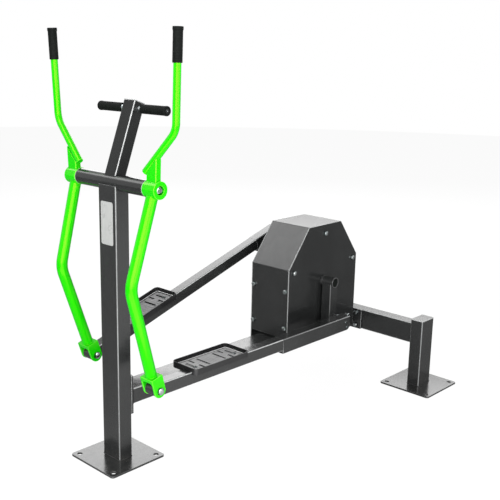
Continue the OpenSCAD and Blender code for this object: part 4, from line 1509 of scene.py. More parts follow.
@dataclass
class GroundFrame:
    """Base plates, posts, beams and flanges that carry everything."""

    shop: Workshop
    tube_w: float = 100.0
    tube_d: float = 63.0
    corner: float = 6.0
    plate: float = 260.0
    plate_t: float = 8.0
    plate_r: float = 12.0
    hole_spacing: float = 210.0
    hole_d: float = 20.0
    post_top: float = 1072.0
    rear_x: float = 422.0
    rear_y: float = 1494.0
    rear_h: float = 328.0
    beam_h: float = 253.0
    flange_t: float = 9.0
    flange_r: float = 3.0
    front_flange: Pair = (182.0, 338.0)
    front_bolt_x: float = 30.0
    front_bolt_in: float = 13.0
    rear_flange_w: float = 210.0
    rear_bolt_in: float = 30.0
    rear_bolt_z: float = 33.0
    cap_t: float = 4.0
    hub_height: float = 1080.0
    cross_tube_d: float = 60.0

    @property
    def flat(self) -> BoxSection:
        """Return the section of the front post and of both beams."""
        return BoxSection(self.tube_w, self.tube_d, self.corner)

    @property
    def stub(self) -> BoxSection:
        """Return the section of the rear post, which stands a quarter turn round."""
        return BoxSection(self.tube_d, self.tube_w, self.corner)

    @property
    def beam_start(self) -> float:
        """Return where the main beam begins, at the front flange."""
        return self.tube_d / 2 + self.flange_t

    @property
    def beam_end(self) -> float:
        """Return where the main beam ends, at the rear flange."""
        return self.rear_y - self.tube_d / 2 - self.flange_t

    def build(self) -> None:
        """Build and dress every piece."""
        self._plates()
        self._tubes()
        self._flanges()
        self._bolts()
        self._welds()

    def _plates(self) -> None:
        """Cut the two base plates."""
        outline = round_corners(rectangle(self.plate, self.plate), [self.plate_r] * 4)
        reach = self.hole_spacing / 2
        spots = [(s * reach, t * reach) for s in (-1, 1) for t in (-1, 1)]
        holes = [circle_points(x, y, self.hole_d / 2) for x, y in spots]
        for node, place in (("front_base_plate", at()), ("rear_base_plate", at(self.rear_x, self.rear_y, 0))):
            dress(slab(outline, holes, self.plate_t, 0.9), node, "frame", POWDER, place, 0.1)

    def _tubes(self) -> None:
        """Stand the posts and lay the beams."""
        left, right = -self.rear_flange_w / 2, self.rear_x - self.tube_d / 2
        beam_at = at(0, self.beam_start, self.beam_h) @ along_y()
        rear_at = at(left, self.rear_y, self.beam_h) @ along_x()
        stub_l = self.rear_h - self.plate_t - self.cap_t
        for node, section, length, end_r, place, shine in (
            ("front_post", self.flat, self.post_top - self.plate_t, 1.0, at(0, 0, self.plate_t), 0.4),
            ("main_beam", self.flat, self.beam_end - self.beam_start, 0.3, beam_at, 1.0),
            ("rear_beam", self.flat, right - left, 0.3, rear_at, 1.0),
            ("rear_post", self.stub, stub_l, 0.3, at(self.rear_x, self.rear_y, self.plate_t), 0.45),
        ):
            dress(prism(section, length, 0.3, end_r), node, "frame", POWDER, place, shine)
        caps = prism(self.stub, self.cap_t, 0.4, 1.6)
        caps.move(at(self.rear_x, self.rear_y, self.rear_h - self.cap_t))
        side_cap = prism(self.flat, self.cap_t, 1.6, 0.4)
        caps.add(side_cap, at(left - self.cap_t, self.rear_y, self.beam_h) @ along_x())
        dress(caps, "rear_caps", "frame", POWDER)

    def _flanges(self) -> None:
        """Set the two bolted flanges."""
        low, high = self.front_flange
        for node, w, h, y, z in (
            ("front_flange", self.tube_w, high - low, self.tube_d / 2, (low + high) / 2),
            ("rear_flange", self.rear_flange_w, self.tube_w, self.beam_end, self.beam_h),
        ):
            flange = prism(BoxSection(w, h, self.flange_r), self.flange_t, 0.8, 0.8)
            dress(flange, node, "frame", POWDER, at(0, y, z) @ along_y())

    def _bolts(self) -> None:
        """Bolt the flanges up."""
        low, high = (z + s * self.front_bolt_in for s, z in zip((1, -1), self.front_flange))
        reach = self.rear_flange_w / 2 - self.rear_bolt_in
        front = [(s * self.front_bolt_x, z) for s in (-1, 1) for z in (low, high)]
        rear = [(s * reach, self.beam_h + t * self.rear_bolt_z) for s in (-1, 1) for t in (-1, 1)]
        spots = [(Vector((x, self.beam_start, z)), Vector((0, 1, 0))) for x, z in front]
        spots += [(Vector((x, self.beam_end, z)), Vector((0, -1, 0))) for x, z in rear]
        nuts = [(Vector((x, self.rear_y + self.tube_d / 2, z)), Vector((0, 1, 0))) for x, z in rear]
        self.shop.bolts("flange_bolt_heads", "frame", spots, ["flange_bolts"])
        self.shop.bolts(
            "flange_nuts", "frame", nuts, washer_thickness=0.4, washer_diameter=21.0, height=7.4,
            thread_length=3.9,
        )

    def _welds(self) -> None:
        """Weld posts, plates, flanges and beams together."""
        rear_end = at(self.rear_x - self.tube_d / 2, self.rear_y, self.beam_h) @ along_x()
        paths = [
            ring_path(at(), self.flat, 0.6, self.plate_t),
            ring_path(at(self.rear_x, self.rear_y, 0), self.stub, 0.6, self.plate_t),
            ring_path(at(0, self.beam_start, self.beam_h) @ along_y(), self.flat, 0.4),
            ring_path(at(0, self.beam_end, self.beam_h) @ along_y(), self.flat, 0.4),
            ring_path(rear_end, self.flat, 0.2),
            saddle_path(at(0, 0, self.hub_height) @ turn(180, "X"), self.flat.ring(-0.4), self.cross_tube_d),
        ]
        self.shop.welds("frame_welds", "frame", paths, WELD_COAT, 1.6)


@dataclass
class LeverAxis:
    """The cross tube on the post, its axle and the nuts in the lever hubs."""

    shop: Workshop
    hub_height: float = 1080.0
    tube_d: float = 60.0
    half_l: float = 190.5
    thrust_t: float = 2.0
    thrust_bore: float = 25.1
    axle_end: float = 243.0

    def build(self) -> None:
        """Build and dress every piece."""
        place = at(0, 0, self.hub_height) @ along_x()
        tube = rod(self.tube_d, -self.half_l, self.half_l, 1.6, 80)
        dress(tube, "cross_tube", "frame", SHEET_COAT, place)
        washers = Shape()
        for s in (1, -1):
            low, high = sorted((s * self.half_l, s * (self.half_l + self.thrust_t)))
            washers.add(tube_ring(self.tube_d, self.thrust_bore, low, high, 0.5))
        dress(washers, "thrust_washers", "frame", NYLON, place)
        dress_solid("lever_axle", ZINC)
        ends = [(Vector((s * self.axle_end, 0, self.hub_height)), Vector((s, 0, 0))) for s in (1, -1)]
        self.shop.bolts(
            "axle_nuts_dressed", "frame", ends, ["axle_nuts"], across=24.0, height=8.0,
            washer_diameter=30.0, washer_thickness=3.0, thread_diameter=16.0, thread_length=3.5,
        )


@dataclass
class UpperPost:
    """The leaning post with its fixed grip bar."""

    shop: Workshop
    hub_height: float = 1080.0
    lean: float = 20.0
    w: float = 63.0
    d: float = 50.0
    length: float = 303.0
    cap_t: float = 4.0
    bar_l: float = 276.0
    bar_d: float = 25.0
    bar_w: float = 374.0
    bar_short: float = 5.0
    grip_l: float = 132.0
    grip_d: float = 34.0
    grip_flange: Pair = (9.0, 35.6)
    corner: float = 5.0
    foot: float = 8.0
    cross_tube_d: float = 60.0

    def build(self) -> None:
        """Build and dress every piece."""
        place = at(0, 0, self.hub_height) @ turn(-self.lean, "X")
        section = BoxSection(self.w, self.d, self.corner)
        post = prism(section, self.length - self.cap_t - self.foot, 0.3, 0.3)
        dress(post, "upper_post", "frame", POST_SHADED_COAT, place @ at(0, 0, self.foot))
        cap = prism(section, self.cap_t, 0.4, 1.4)
        dress(cap, "upper_post_cap", "frame", POST_SHADED_COAT, place @ at(0, 0, self.length - self.cap_t))
        bar_place = place @ at(0, 0, self.bar_l) @ along_x()
        half = self.bar_w / 2
        grip_bar = rod(self.bar_d, -half + self.bar_short, half - self.bar_short, 1.0)
        dress(grip_bar, "grip_bar", "frame", ZINC, bar_place)
        for side in Side:
            self._grip(side, bar_place)
        bar = RoundSection(self.bar_d, 32)
        paths = [
            saddle_path(place, section.ring(-0.4), self.cross_tube_d),
            ring_path(bar_place, bar, 0.3, self.w / 2),
            ring_path(bar_place, bar, 0.3, -self.w / 2),
        ]
        self.shop.welds("upper_post_welds", "frame", paths, WELD_COAT, 1.4)

    def _grip(self, side: Side, bar_place: Matrix) -> None:
        """Slide a grip on one end of the fixed bar and plug that end.

        Args:
            side: Which end.
            bar_place: Place of the bar, with Z along it.
        """
        half, sign = self.bar_w / 2, side.value
        start = sign * (half - self.grip_l)
        size = (self.grip_l, self.grip_d)
        self.shop.grip(f"bar_grip_{side.word}", "frame", bar_place, start, sign, size, self.grip_flange)
        end = bar_place @ at(0, 0, sign * half) @ (Matrix() if sign > 0 else turn(180, "X"))
        make_piece(lathe(BAR_PLUG, 40), f"bar_plug_{side.word}", "frame", PLASTIC, place=end)
        make_piece(lathe(BAR_STUD, 24), f"bar_stud_{side.word}", "frame", ZINC, place=end)


@dataclass
class LabelPlate:
    """The blank plate on the front of the post."""

    w: float = 68.0
    h: float = 160.0
    r: float = 8.0
    t: float = 1.5
    centre_z: float = 932.0
    face_y: float = -31.5

    def build(self) -> None:
        """Build and dress the plate."""
        shape = slab(round_corners(rectangle(self.w, self.h), [self.r] * 4, 8), [], self.t, 0.4)
        dress(shape, "label_plate", "frame", WHITE, at(0, self.face_y, self.centre_z) @ turn(90, "X"))


# -------- housing and crank


@dataclass
class Housing:
    """The sheet metal housing over the flywheel, with its covers and bolts."""

    shop: Workshop
    y: float = 1128.0
    crank_h: float = 520.0
    length: float = 500.0
    w: float = 219.0
    top_l: float = 232.0
    top: float = 782.0
    waist: float = 607.0
    cover_low: float = 240.0
    shell_low: float = 290.5
    cover_t: float = 4.0
    seal_d: float = 44.0
    shell_fold: float = 7.0
    cover_fold: float = 5.0
    bolt_in: float = 16.0
    side_bolt_in: float = 34.0
    top_bolt_in: float = 42.0
    end_rows: Pair = (339.0, 509.0)

    def _outline(self, low: float, r: float) -> Outline:
        """Return the side view with rounded folds.

        Args:
            low: Height of the lower edge.
            r: Radius of the folds.

        Returns:
            Points in Y and Z.
        """
        half, top = self.length / 2, self.top_l / 2
        corners = [
            (self.y - half, low), (self.y + half, low), (self.y + half, self.waist),
            (self.y + top, self.top), (self.y - top, self.top), (self.y - half, self.waist),
        ]
        return round_corners(corners, [0.6, 0.6, r, r, r, r])

    def build(self) -> None:
        """Build and dress every piece."""
        inner = self.w - 2 * self.cover_t
        make_piece(
            slab(self._outline(self.shell_low, self.shell_fold), [], inner, 0.5), "housing_shell_dressed",
            "frame", SHELL_COAT, ["housing_shell", "backing_plates"], at(-inner / 2, 0, 0) @ side_on(),
        )
        for side in Side:
            hole = circle_points(self.y, self.crank_h, self.seal_d / 2)
            cover = slab(self._outline(self.cover_low, self.cover_fold), [hole], self.cover_t, 1.7)
            start = inner / 2 if side is Side.RIGHT else -self.w / 2
            dress(cover, f"cover_{side.word}", "frame", SHEET_COAT, at(start, 0, 0) @ side_on())
        self._bolts()
        for node, finish in (
            ("housing_base", POWDER), ("bearing_stands", POWDER), ("shaft_bearings", ZINC),
            ("shaft_seals", RUBBER),
        ):
            dress_solid(node, finish)

    def _bolts(self) -> None:
        """Bolt the covers and the end sheets."""
        high_y = self.length / 2 - self.side_bolt_in
        low_y, low_z, high_z = high_y - self.bolt_in, self.shell_low + self.bolt_in, self.waist - self.bolt_in
        places = [
            (0, self.top - self.top_bolt_in), (-high_y, high_z), (high_y, high_z),
            (-low_y, low_z), (low_y, low_z),
        ]
        sizes = {"across": 19.0, "height": 9.0, "washer_diameter": 24.0}
        for side in Side:
            x = side.value * self.w / 2
            spots = [(Vector((x, self.y + y, z)), Vector((side.value, 0, 0))) for y, z in places]
            nodes = ["cover_bolts"] if side is Side.RIGHT else []
            self.shop.bolts(f"cover_bolts_{side.word}", "frame", spots, nodes, seed=side.value + 5, **sizes)
        reach, half = self.w / 2 - self.bolt_in, self.length / 2
        ends = [
            (Vector((s * reach, self.y + t * half, z)), Vector((0, t, 0)))
            for s in (-1, 1) for z in self.end_rows for t in (-1, 1)
        ]
        self.shop.bolts("shell_bolts_dressed", "frame", ends, ["shell_bolts"], seed=9, **sizes)


@dataclass
class Crank:
    """The shaft with its two square cranks and the flywheel."""

    shop: Workshop
    link: Linkage
    w: float = 50.0
    inner_x: float = 121.0
    outer_x: float = 171.0
    past: float = 25.0
    hub_d: float = 48.0
    hub_in: float = 110.3
    hub_out: float = 178.0
    collar: Pair = (7.0, 8.6)
    shaft_d: float = 40.0
    cap_x: float = 168.0
    boss_d: float = 46.0
    boss_end: float = 185.5
    journal_d: float = 30.0
    journal_end: float = 193.5
    corner: float = 5.0
    foot: float = 6.0

    def build(self) -> None:
        """Build and dress every piece."""
        for side in Side:
            self._arm(side)
        dress_solid("crank_shaft", ZINC)
        dress_solid("flywheel", IRON)
        caps = Shape()
        for side in Side:
            caps.add(lathe(CRANK_CAP, 56), at(side.value * self.cap_x, 0, 0) @ turn(side.value * 90, "Y"))
        dress(caps, "crank_caps", "crank", RUBBER, self.link.on_crank())

    def _arm(self, side: Side) -> None:
        """Build one crank, drawn on the right and pointing up.

        Args:
            side: Which crank.
        """
        place = self.link.on_crank() @ (turn(180, "X") if side is Side.RIGHT else flip_x())
        middle = (self.inner_x + self.outer_x) / 2
        section = BoxSection(self.w, self.w, self.corner)
        shape = prism(section, self.link.crank_r + self.past - self.foot, 0.4, 1.6)
        shape.move(at(middle, 0, self.foot))
        low, high = (self.hub_in + step for step in self.collar)
        shape.add(tube_ring(self.hub_d, self.shaft_d, self.hub_in, self.hub_out, 1.4), along_x())
        shape.add(tube_ring(self.hub_d + 1.4, self.shaft_d, low, high, 0.5), along_x())
        pin_place = at(0, 0, self.link.crank_r) @ along_x()
        shape.add(rod(self.boss_d, self.outer_x - 2, self.boss_end, 1.2), pin_place)
        dress(shape, f"crank_arm_{side.word}", "crank", POWDER, place, 0.1)
        journal = rod(self.journal_d, self.boss_end - 2, self.journal_end, 0.8)
        make_piece(journal, f"crank_journal_{side.word}", "crank", ZINC, place=place @ pin_place)
        paths = [
            ring_path(pin_place, RoundSection(self.boss_d, 40), 0.3, self.outer_x),
            ([Vector((self.outer_x, y, self.foot + 0.5)) for y in range(-20, 21, 4)], False),
        ]
        placed = [([place @ p for p in points], closed) for points, closed in paths]
        self.shop.welds(f"crank_welds_{side.word}", "crank", placed, WELD_COAT, 1.5)


# -------- levers


@dataclass
class HandLever:
    """One green hand lever, drawn for the right side with its axis at the origin."""

    shop: Workshop
    link: Linkage
    side: Side
    hub_d: float = 64.0
    bore: float = 32.0
    hub_in: float = 192.8
    hub_out: float = 256.8
    upright_w: float = 50.0
    upright_d: float = 25.0
    upright_y: float = -5.0
    upright_out: float = 250.3
    lower_d: float = 43.0
    bend_y: float = 100.0
    bend_drop: float = 340.0
    bend_r: float = 110.0
    clevis_top: float = 57.0
    upper_d: float = 27.0
    upper_y: float = -4.0
    upper_turn: float = 5.0
    upper_slope: float = 47.2
    upper_bend_h: float = 205.0
    upper_bend_r: float = 75.0
    upper_run: float = 203.0
    hand_reach: float = 98.0
    hand_top: float = 541.0
    tube_short: float = 5.0
    grip_l: float = 115.0
    grip_d: float = 34.0
    grip_flange: Pair = (12.0, 36.5)
    weld_sink: float = 2.5
    upright_low: float = 22.0
    upright_r: float = 4.0
    hidden_leg: float = 26.0
    pin_d: float = 16.0
    pin_half_l: float = 34.0
    pin_washer_x: float = 33.5

    @property
    def body(self) -> str:
        """Return the body that the lever is."""
        return f"{self.side.word}_lever"

    def _leans(self) -> tuple[float, float, float, float]:
        """Work out the two legs of the lower tube.

        Returns:
            Length and lean in degrees of the upper leg, then of the lower one.
        """
        pin_back, pin_drop = self.link.pin_back, self.link.pin_drop
        low_y, low_z = self.bend_y + pin_back, pin_drop - self.bend_drop
        return (
            math.hypot(self.bend_y, self.bend_drop), math.degrees(math.atan2(self.bend_y, self.bend_drop)),
            math.hypot(low_y, low_z), math.degrees(math.atan2(low_y, low_z)),
        )

    def _green(self, shape: Shape, node: str) -> None:
        """Make a shape one of the lever's green pieces."""
        dress(shape, f"{self.side.word}_{node}", self.body, GREEN, self.link.on_lever(self.side))

    def _upper_frames(self) -> list[Matrix]:
        """Lay the upper tube's middle line.

        Returns:
            Places along it, from its foot to the hand.
        """
        rise = self.hand_top - self.tube_short - self.upper_bend_h
        path = BentPath(self.upper_run, rise, 90 - self.upper_slope, self.upper_bend_r)
        base = self._on_upper() @ at(0, 0, self.upper_bend_h) @ turn(90, "X") @ turn(self.upper_slope, "Z")
        return [base @ frame for frame in path.frames()]

    def _on_upper(self) -> Matrix:
        """Return the foot of the upright run of the upper tube."""
        middle = self.upright_out - self.upright_w / 2
        return at(middle, self.upper_y, 0) @ turn(self.upper_turn, "Z") @ at(self.hand_reach, 0, 0)

    def _at_pin(self) -> Matrix:
        """Find the clevis pin.

        Returns:
            Its place, with Z up along the lower leg.
        """
        low_lean = self._leans()[3]
        drop = at(self.link.arm_x, self.link.pin_back, -self.link.pin_drop)
        return self.link.on_lever(self.side) @ drop @ turn(low_lean, "X")

    def build(self) -> None:
        """Build and dress every piece."""
        self._hub()
        self._lower()
        self._upper()
        self._fork()
        dress_solid(f"{self.side.word}_bush", NYLON)
        self._welds()

    def _upright_top(self) -> float:
        """Find where the upright meets the upper tube.

        Returns:
            The height of the upright's outer edge.
        """
        run = self.hand_reach - self.upright_w / 2
        slope = math.radians(self.upper_slope)
        return self.upper_bend_h - run * math.tan(slope) - self.upper_d / 2 / math.cos(slope) + self.weld_sink

    def _hub(self) -> None:
        """Build the hub tube with its flat upright."""
        shape = tube_ring(self.hub_d, self.bore, self.hub_in, self.hub_out, 1.8, 80).move(along_x())
        slope = math.tan(math.radians(self.upper_slope))
        middle_top = self._upright_top() - self.upright_w / 2 * slope
        section = BoxSection(self.upright_w, self.upright_d, self.upright_r)
        upright = prism(section, middle_top - self.upright_low, 0.4, 0.8)
        upright.shear_top(10.0, slope)
        shape.add(upright, at(self.upright_out - self.upright_w / 2, self.upright_y, self.upright_low))
        self._green(shape, "hub")

    def _lower(self) -> None:
        """Bend the lower tube."""
        high_l, high_lean, low_l, low_lean = self._leans()
        path = BentPath(high_l - self.hidden_leg, low_l - self.clevis_top, high_lean + low_lean, self.bend_r)
        base = at(self.link.arm_x, -self.bend_y, -self.bend_drop) @ side_on() @ turn(-90 - high_lean, "Z")
        shape = sweep(RoundSection(self.lower_d, 64), [base @ frame for frame in path.frames()], 0.6)
        self._green(shape, "lower_tube")

    def _upper(self) -> None:
        """Bend the upper tube and slide its grip on."""
        frames = self._upper_frames()
        self._green(sweep(RoundSection(self.upper_d, 56), frames, 1.6), "upper_tube")
        foot = self.link.on_lever(self.side) @ self._on_upper()
        start = self.hand_top - self.grip_l
        size = (self.grip_l, self.grip_d)
        self.shop.grip(f"{self.side.word}_grip", self.body, foot, start, 1, size, self.grip_flange)

    def _fork(self) -> None:
        """Round the clevis and set its bolt."""
        clevis, pin = f"{self.side.word}_clevis", f"{self.side.word}_pin"
        dress(from_solid(clevis, 1.8), clevis, self.body, GREEN)
        place = self._at_pin()
        spots = [
            (place @ Vector((s * self.pin_washer_x, 0, 0)), (place.to_3x3() @ Vector((s, 0, 0))).normalized())
            for s in (-1, 1)
        ]
        self.shop.bolts(
            pin + "_ends", self.body, spots, across=24.0, height=8.4, washer_diameter=28.0, seed=4
        )
        shank = rod(self.pin_d, -self.pin_half_l, self.pin_half_l, 0.5)
        make_piece(shank, pin + "_shank", self.body, ZINC, [pin], place @ along_x())

    def _welds(self) -> None:
        """Weld the lever's tubes together."""
        lever = self.link.on_lever(self.side)
        down = lever @ at(self.link.arm_x, 0, 0) @ turn(180 - self._leans()[1], "X")
        upright = lever @ at(self.upright_out - self.upright_w / 2, self.upright_y, 0)
        lower = RoundSection(self.lower_d, 48)
        box = BoxSection(self.upright_w, self.upright_d, self.upright_r)
        paths = [
            saddle_path(down, lower.ring(-0.3), self.hub_d),
            saddle_path(upright, box.ring(-0.3), self.hub_d, self.upright_y),
            ring_path(self._at_pin(), lower, 0.2, self.clevis_top),
        ]
        self.shop.welds(f"{self.side.word}_lever_welds", self.body, paths, GREEN, 1.7)


# -------- pedal arms


@dataclass
class PedalTray:
    """A foot tray: rim, ledge with a light lip that is a painted highlight, groove, raised floor with slots
    and bars; near-black strips fill the slots as painted shade.
    """

    shop: Workshop
    w: float = 136.0
    length: float = 295.0
    h: float = 16.0
    corner: float = 18.0
    rim: float = 2.6
    ledge: float = 9.2
    ledge_z: float = 1.4
    lip_w: float = 2.6
    lip_h: float = 0.8
    sunk: float = 0.4
    pad_t: float = 2.8
    groove: float = 7.6
    floor: float = 3.0
    hem_h: float = 9.0
    hem_gap: float = 1.0
    arm_w: float = 50.0
    shift: float = 21.0
    bolt_reach: float = 106.2
    slot_half: float = 5.6
    slot_r: float = 2.4

    @property
    def base(self) -> BoxSection:
        """Return the tray's outer edge."""
        return BoxSection(self.w, self.length, self.corner, 9)

    def _shell(self) -> Shape:
        """Mould the rim, the ledge and the hems.

        Returns:
            The shell, with its foot at Z = 0.
        """
        step, foot = self.rim + self.ledge, self.ledge_z
        profile = [
            (1.6, 0.0), (0.1, 0.0), (0.0, 0.1), (0.0, self.h - 1.2), (0.35, self.h - 0.35), (1.2, self.h),
            (1.5, self.h), (2.25, self.h - 0.35), (self.rim, self.h - 1.2), (self.rim, foot + 0.5),
            (self.rim + 0.4, foot), (step - 0.8, foot), (step, foot - 0.4), (step + 0.4, self.sunk),
        ]
        shape = Shape().loft([raised(self.base.ring(inset), z) for inset, z in profile])
        for sign in (-1, 1):
            shape.add(slab(self._hem(sign), [], self.hem_h + 1.0, 0.7), at(0, 0, -self.hem_h))
        return shape

    def _hem(self, sign: int) -> Outline:
        """Return the outline of the edge's lower part on one side of the arm.

        Args:
            sign: 1 for the side towards +X, -1 for the other.

        Returns:
            Points in the tray's plane.
        """
        cut = self.shift + sign * (self.arm_w / 2 + self.hem_gap)
        outline: Outline = []
        for inset, way in ((0.03, 1), (self.rim, -1)):
            end = self.length / 2 - inset
            kept = [(x, y) for x, y in self.base.ring(inset) if sign * x > sign * cut]
            kept.sort(key=lambda p: math.atan2(p[1], abs(p[0])))
            outline.extend([(cut, -end), *kept, (cut, end)][::way])
        return outline if sign > 0 else outline[::-1]

    def _slots(self) -> list[Outline]:
        """Lay out the floor's slots.

        Returns:
            Their outlines in the tray's plane.
        """
        made: list[Outline] = []
        h = self.slot_half
        for s in (-1, 1):
            for x1, x2, y in ((-36, 36, 45), (-44, -14, 77), (14, 44, 77), (-30, 30, 108)):
                corners = [(x1, s * y - h), (x2, s * y - h), (x2, s * y + h), (x1, s * y + h)]
                made.append(round_corners(corners, [self.slot_r] * 4, 3))
        return made

    def build(self, side: Side, place: Matrix) -> None:
        """Build one tray.

        Args:
            side: Which arm carries it.
            place: Place of the tray's middle, on top of the arm.
        """
        body, node = f"{side.word}_arm", f"{side.word}_pedal"
        dress(self._shell(), node, body, PLASTIC, place)
        inset, on_floor = self.rim + self.ledge + self.groove, at(0, 0, self.sunk - 0.1)
        outline = BoxSection(self.w - 2 * inset, self.length - 2 * inset, self.corner - inset + 3.0, 6).ring()
        pad = slab(outline, self._slots(), self.pad_t, 0.9)
        make_piece(pad, node + "_floor", body, TREAD, place=place @ on_floor)
        # Near-black strips in the slots stand in for their depth: painted shade
        slot_shade = Shape()
        for outline in self._slots():
            slot_shade.add(slab(outline, [], self.pad_t + 0.5, 0.4), on_floor)
        make_piece(slot_shade, node + "_strips", body, SLOT_SHADE, place=place)
        # The light lip on the ledge is a painted highlight
        lip_at = self.rim + self.ledge - self.lip_w - 0.3
        lip = slab(self.base.ring(lip_at), [self.base.ring(lip_at + self.lip_w)], self.lip_h, 0.25)
        make_piece(lip, node + "_lip", body, LIP_HIGHLIGHT, place=place @ at(0, 0, self.ledge_z - 0.1))
        values = {
            "Bar length": 89.0, "Bar width": 3.6, "Bar height": 1.3, "Spacing": 12.2, "Bars": 21,
            "Finish": TREAD.material(),
        }
        mesh = self.shop.bars.run(seed_points([(Vector(), Vector((0, 0, 1)))]), values)
        mesh.transform(place @ at(0, 0, self.sunk + self.pad_t - 0.15))
        place_piece(mesh, node + "_bars", body)


@dataclass
class PedalArm:
    """One square pedal arm with its tray, front bush and rear bearing."""

    shop: Workshop
    link: Linkage
    side: Side
    w: float = 50.0
    bush_d: float = 48.0
    bush_w: float = 49.0
    front: float = 14.0
    corner: float = 5.0
    bracket_starts: Pair = (693.0, 1004.0)
    bracket_end: float = 1164.0
    bracket_h: float = 64.0
    bracket_r: float = 24.0
    bearing_d: float = 52.0
    bearing_bore: float = 30.0
    tray_start: float = 164.0

    @property
    def body(self) -> str:
        """Return the body that the arm is."""
        return f"{self.side.word}_arm"

    @property
    def bracket_start(self) -> float:
        """Return where the deeper rear section begins on this side."""
        return self.bracket_starts[0 if self.side is Side.RIGHT else 1]

    def build(self) -> None:
        """Build and dress every piece."""
        place = self.link.on_arm(self.side)
        word = self.side.word
        beam = prism(BoxSection(self.w, self.w, self.corner), self.bracket_start - self.front, 0.6, 0.4)
        beam.move(at(0, self.front, 0) @ along_y())
        beam.add(tube_ring(self.bush_d, 16.1, -self.bush_w / 2, self.bush_w / 2, 1.2), along_x())
        dress(beam, f"{word}_arm_beam", self.body, POWDER, place)
        self._bracket(place)
        self._rear(place)
        tray = PedalTray(self.shop)
        tray.build(self.side, place @ at(-tray.shift, self.tray_start + tray.length / 2, self.w / 2))
        self._tray_bolts(place, tray)
        seams = (19.5, -19.5)
        paths = [([place @ Vector((x, self.front, z)) for x in range(-22, 23, 4)], False) for z in seams]
        self.shop.welds(f"{word}_arm_welds", self.body, paths, WELD_COAT, 1.5)

    def _bracket(self, place: Matrix) -> None:
        """Build the deeper rear section.

        Args:
            place: Place of the arm.
        """
        top, low, start, end = self.w / 2, self.w / 2 - self.bracket_h, self.bracket_start, self.bracket_end
        corners = [(start, low), (end, low), (end, top), (start, top)]
        shape = slab(round_corners(corners, [1.0, self.bracket_r, 2.0, 1.0], 10), [], self.w, 3.4)
        across = at(-self.w / 2, 0, 0) @ side_on()
        dress(shape, f"{self.side.word}_arm_bracket", self.body, POWDER, place @ across, 0.55)

    def _rear(self, place: Matrix) -> None:
        """Set the bearing in the inner face and two button heads in the outer one.

        Args:
            place: Place of the arm.
        """
        word, sign, face = self.side.word, self.side.value, self.w / 2
        bearing = tube_ring(self.bearing_d, self.bearing_bore, face - 2, face + 2, 0.8, 56)
        inward = at(0, self.link.arm_l, 0) @ turn(-90 * sign, "Y")
        make_piece(
            bearing, f"{word}_arm_bearing_ring", self.body, ZINC, [f"{word}_arm_bearing"], place @ inward
        )
        heads = Shape()
        for y, z in ((0.0, 0.0), (10.0, -24.0)):
            outward = at(sign * face, self.link.arm_l + y, z) @ turn(90 * sign, "Y")
            heads.add(lathe(BUTTON_HEAD, 40), outward)
        make_piece(heads, f"{word}_arm_buttons", self.body, BOLT_BLACK, place=place)

    def _tray_bolts(self, place: Matrix, tray: PedalTray) -> None:
        """Bolt the tray on.

        Args:
            place: Place of the arm.
            tray: The tray's sizes.
        """
        word, middle = self.side.word, self.tray_start + tray.length / 2
        heads = Shape()
        for s in (-1, 1):
            heads.add(lathe(TRAY_BOLT_HEAD, 40), at(0, middle + s * tray.bolt_reach, self.w / 2 + tray.floor))
        make_piece(heads, f"{word}_pedal_bolt_heads", self.body, BOLT_BLACK, [f"{word}_pedal_bolts"], place)


# -------- studio


@dataclass(frozen=True)
class Lamp:
    """One soft box, which the camera does not see.

    It faces the machine's middle, or a point of its own, and may be turned about that line.
    """

    name: str
    where: Triple
    size: Pair
    radiance: float
    towards: Triple | None = None
    spin: float = 0.0
    mirrored: bool = True

    def hang(self, middle: Triple) -> None:
        """Put the lamp into the scene.

        Args:
            middle: The machine's middle.
        """
        data = bpy.data.lights.new(self.name, "AREA")
        data.shape = "RECTANGLE"
        data.size, data.size_y = self.size
        data.energy = self.radiance * math.pi * self.size[0] * self.size[1]
        lamp = bpy.data.objects.new(self.name, data)
        aim = Vector(self.towards or middle) - Vector(self.where)
        facing = aim.to_track_quat("-Z", "Y").to_matrix().to_4x4()
        lamp.matrix_world = Matrix.Translation(self.where) @ facing @ turn(self.spin, "Z")
        lamp.visible_camera = False
        lamp.visible_glossy = self.mirrored
        show(lamp)


LAMPS = (
    Lamp("overhead", (-3.3, -0.9, 4.3), (1.8, 1.8), 3.6),
    Lamp("back_panel", (-3.2, 4.5, 3.45), (5.2, 2.9), 3.3),
    Lamp("front_strip", (2.9, -2.8, 1.3), (4.0, 2.4), 6.5),
    Lamp("right_strip", (4.1, 0.4, 1.2), (2.8, 2.3), 4.5),
    Lamp("side_fill", (3.9, 2.5, 1.5), (1.6, 2.4), 2.0, mirrored=False),
    Lamp("floor_panel", (1.7, -1.6, 0.01), (3.0, 2.4), 3.0, (1.7, -1.6, 1.0), 45.0),
    Lamp("front_top", (0.8, -2.7, 3.9), (3.0, 2.4), 7.0),
)


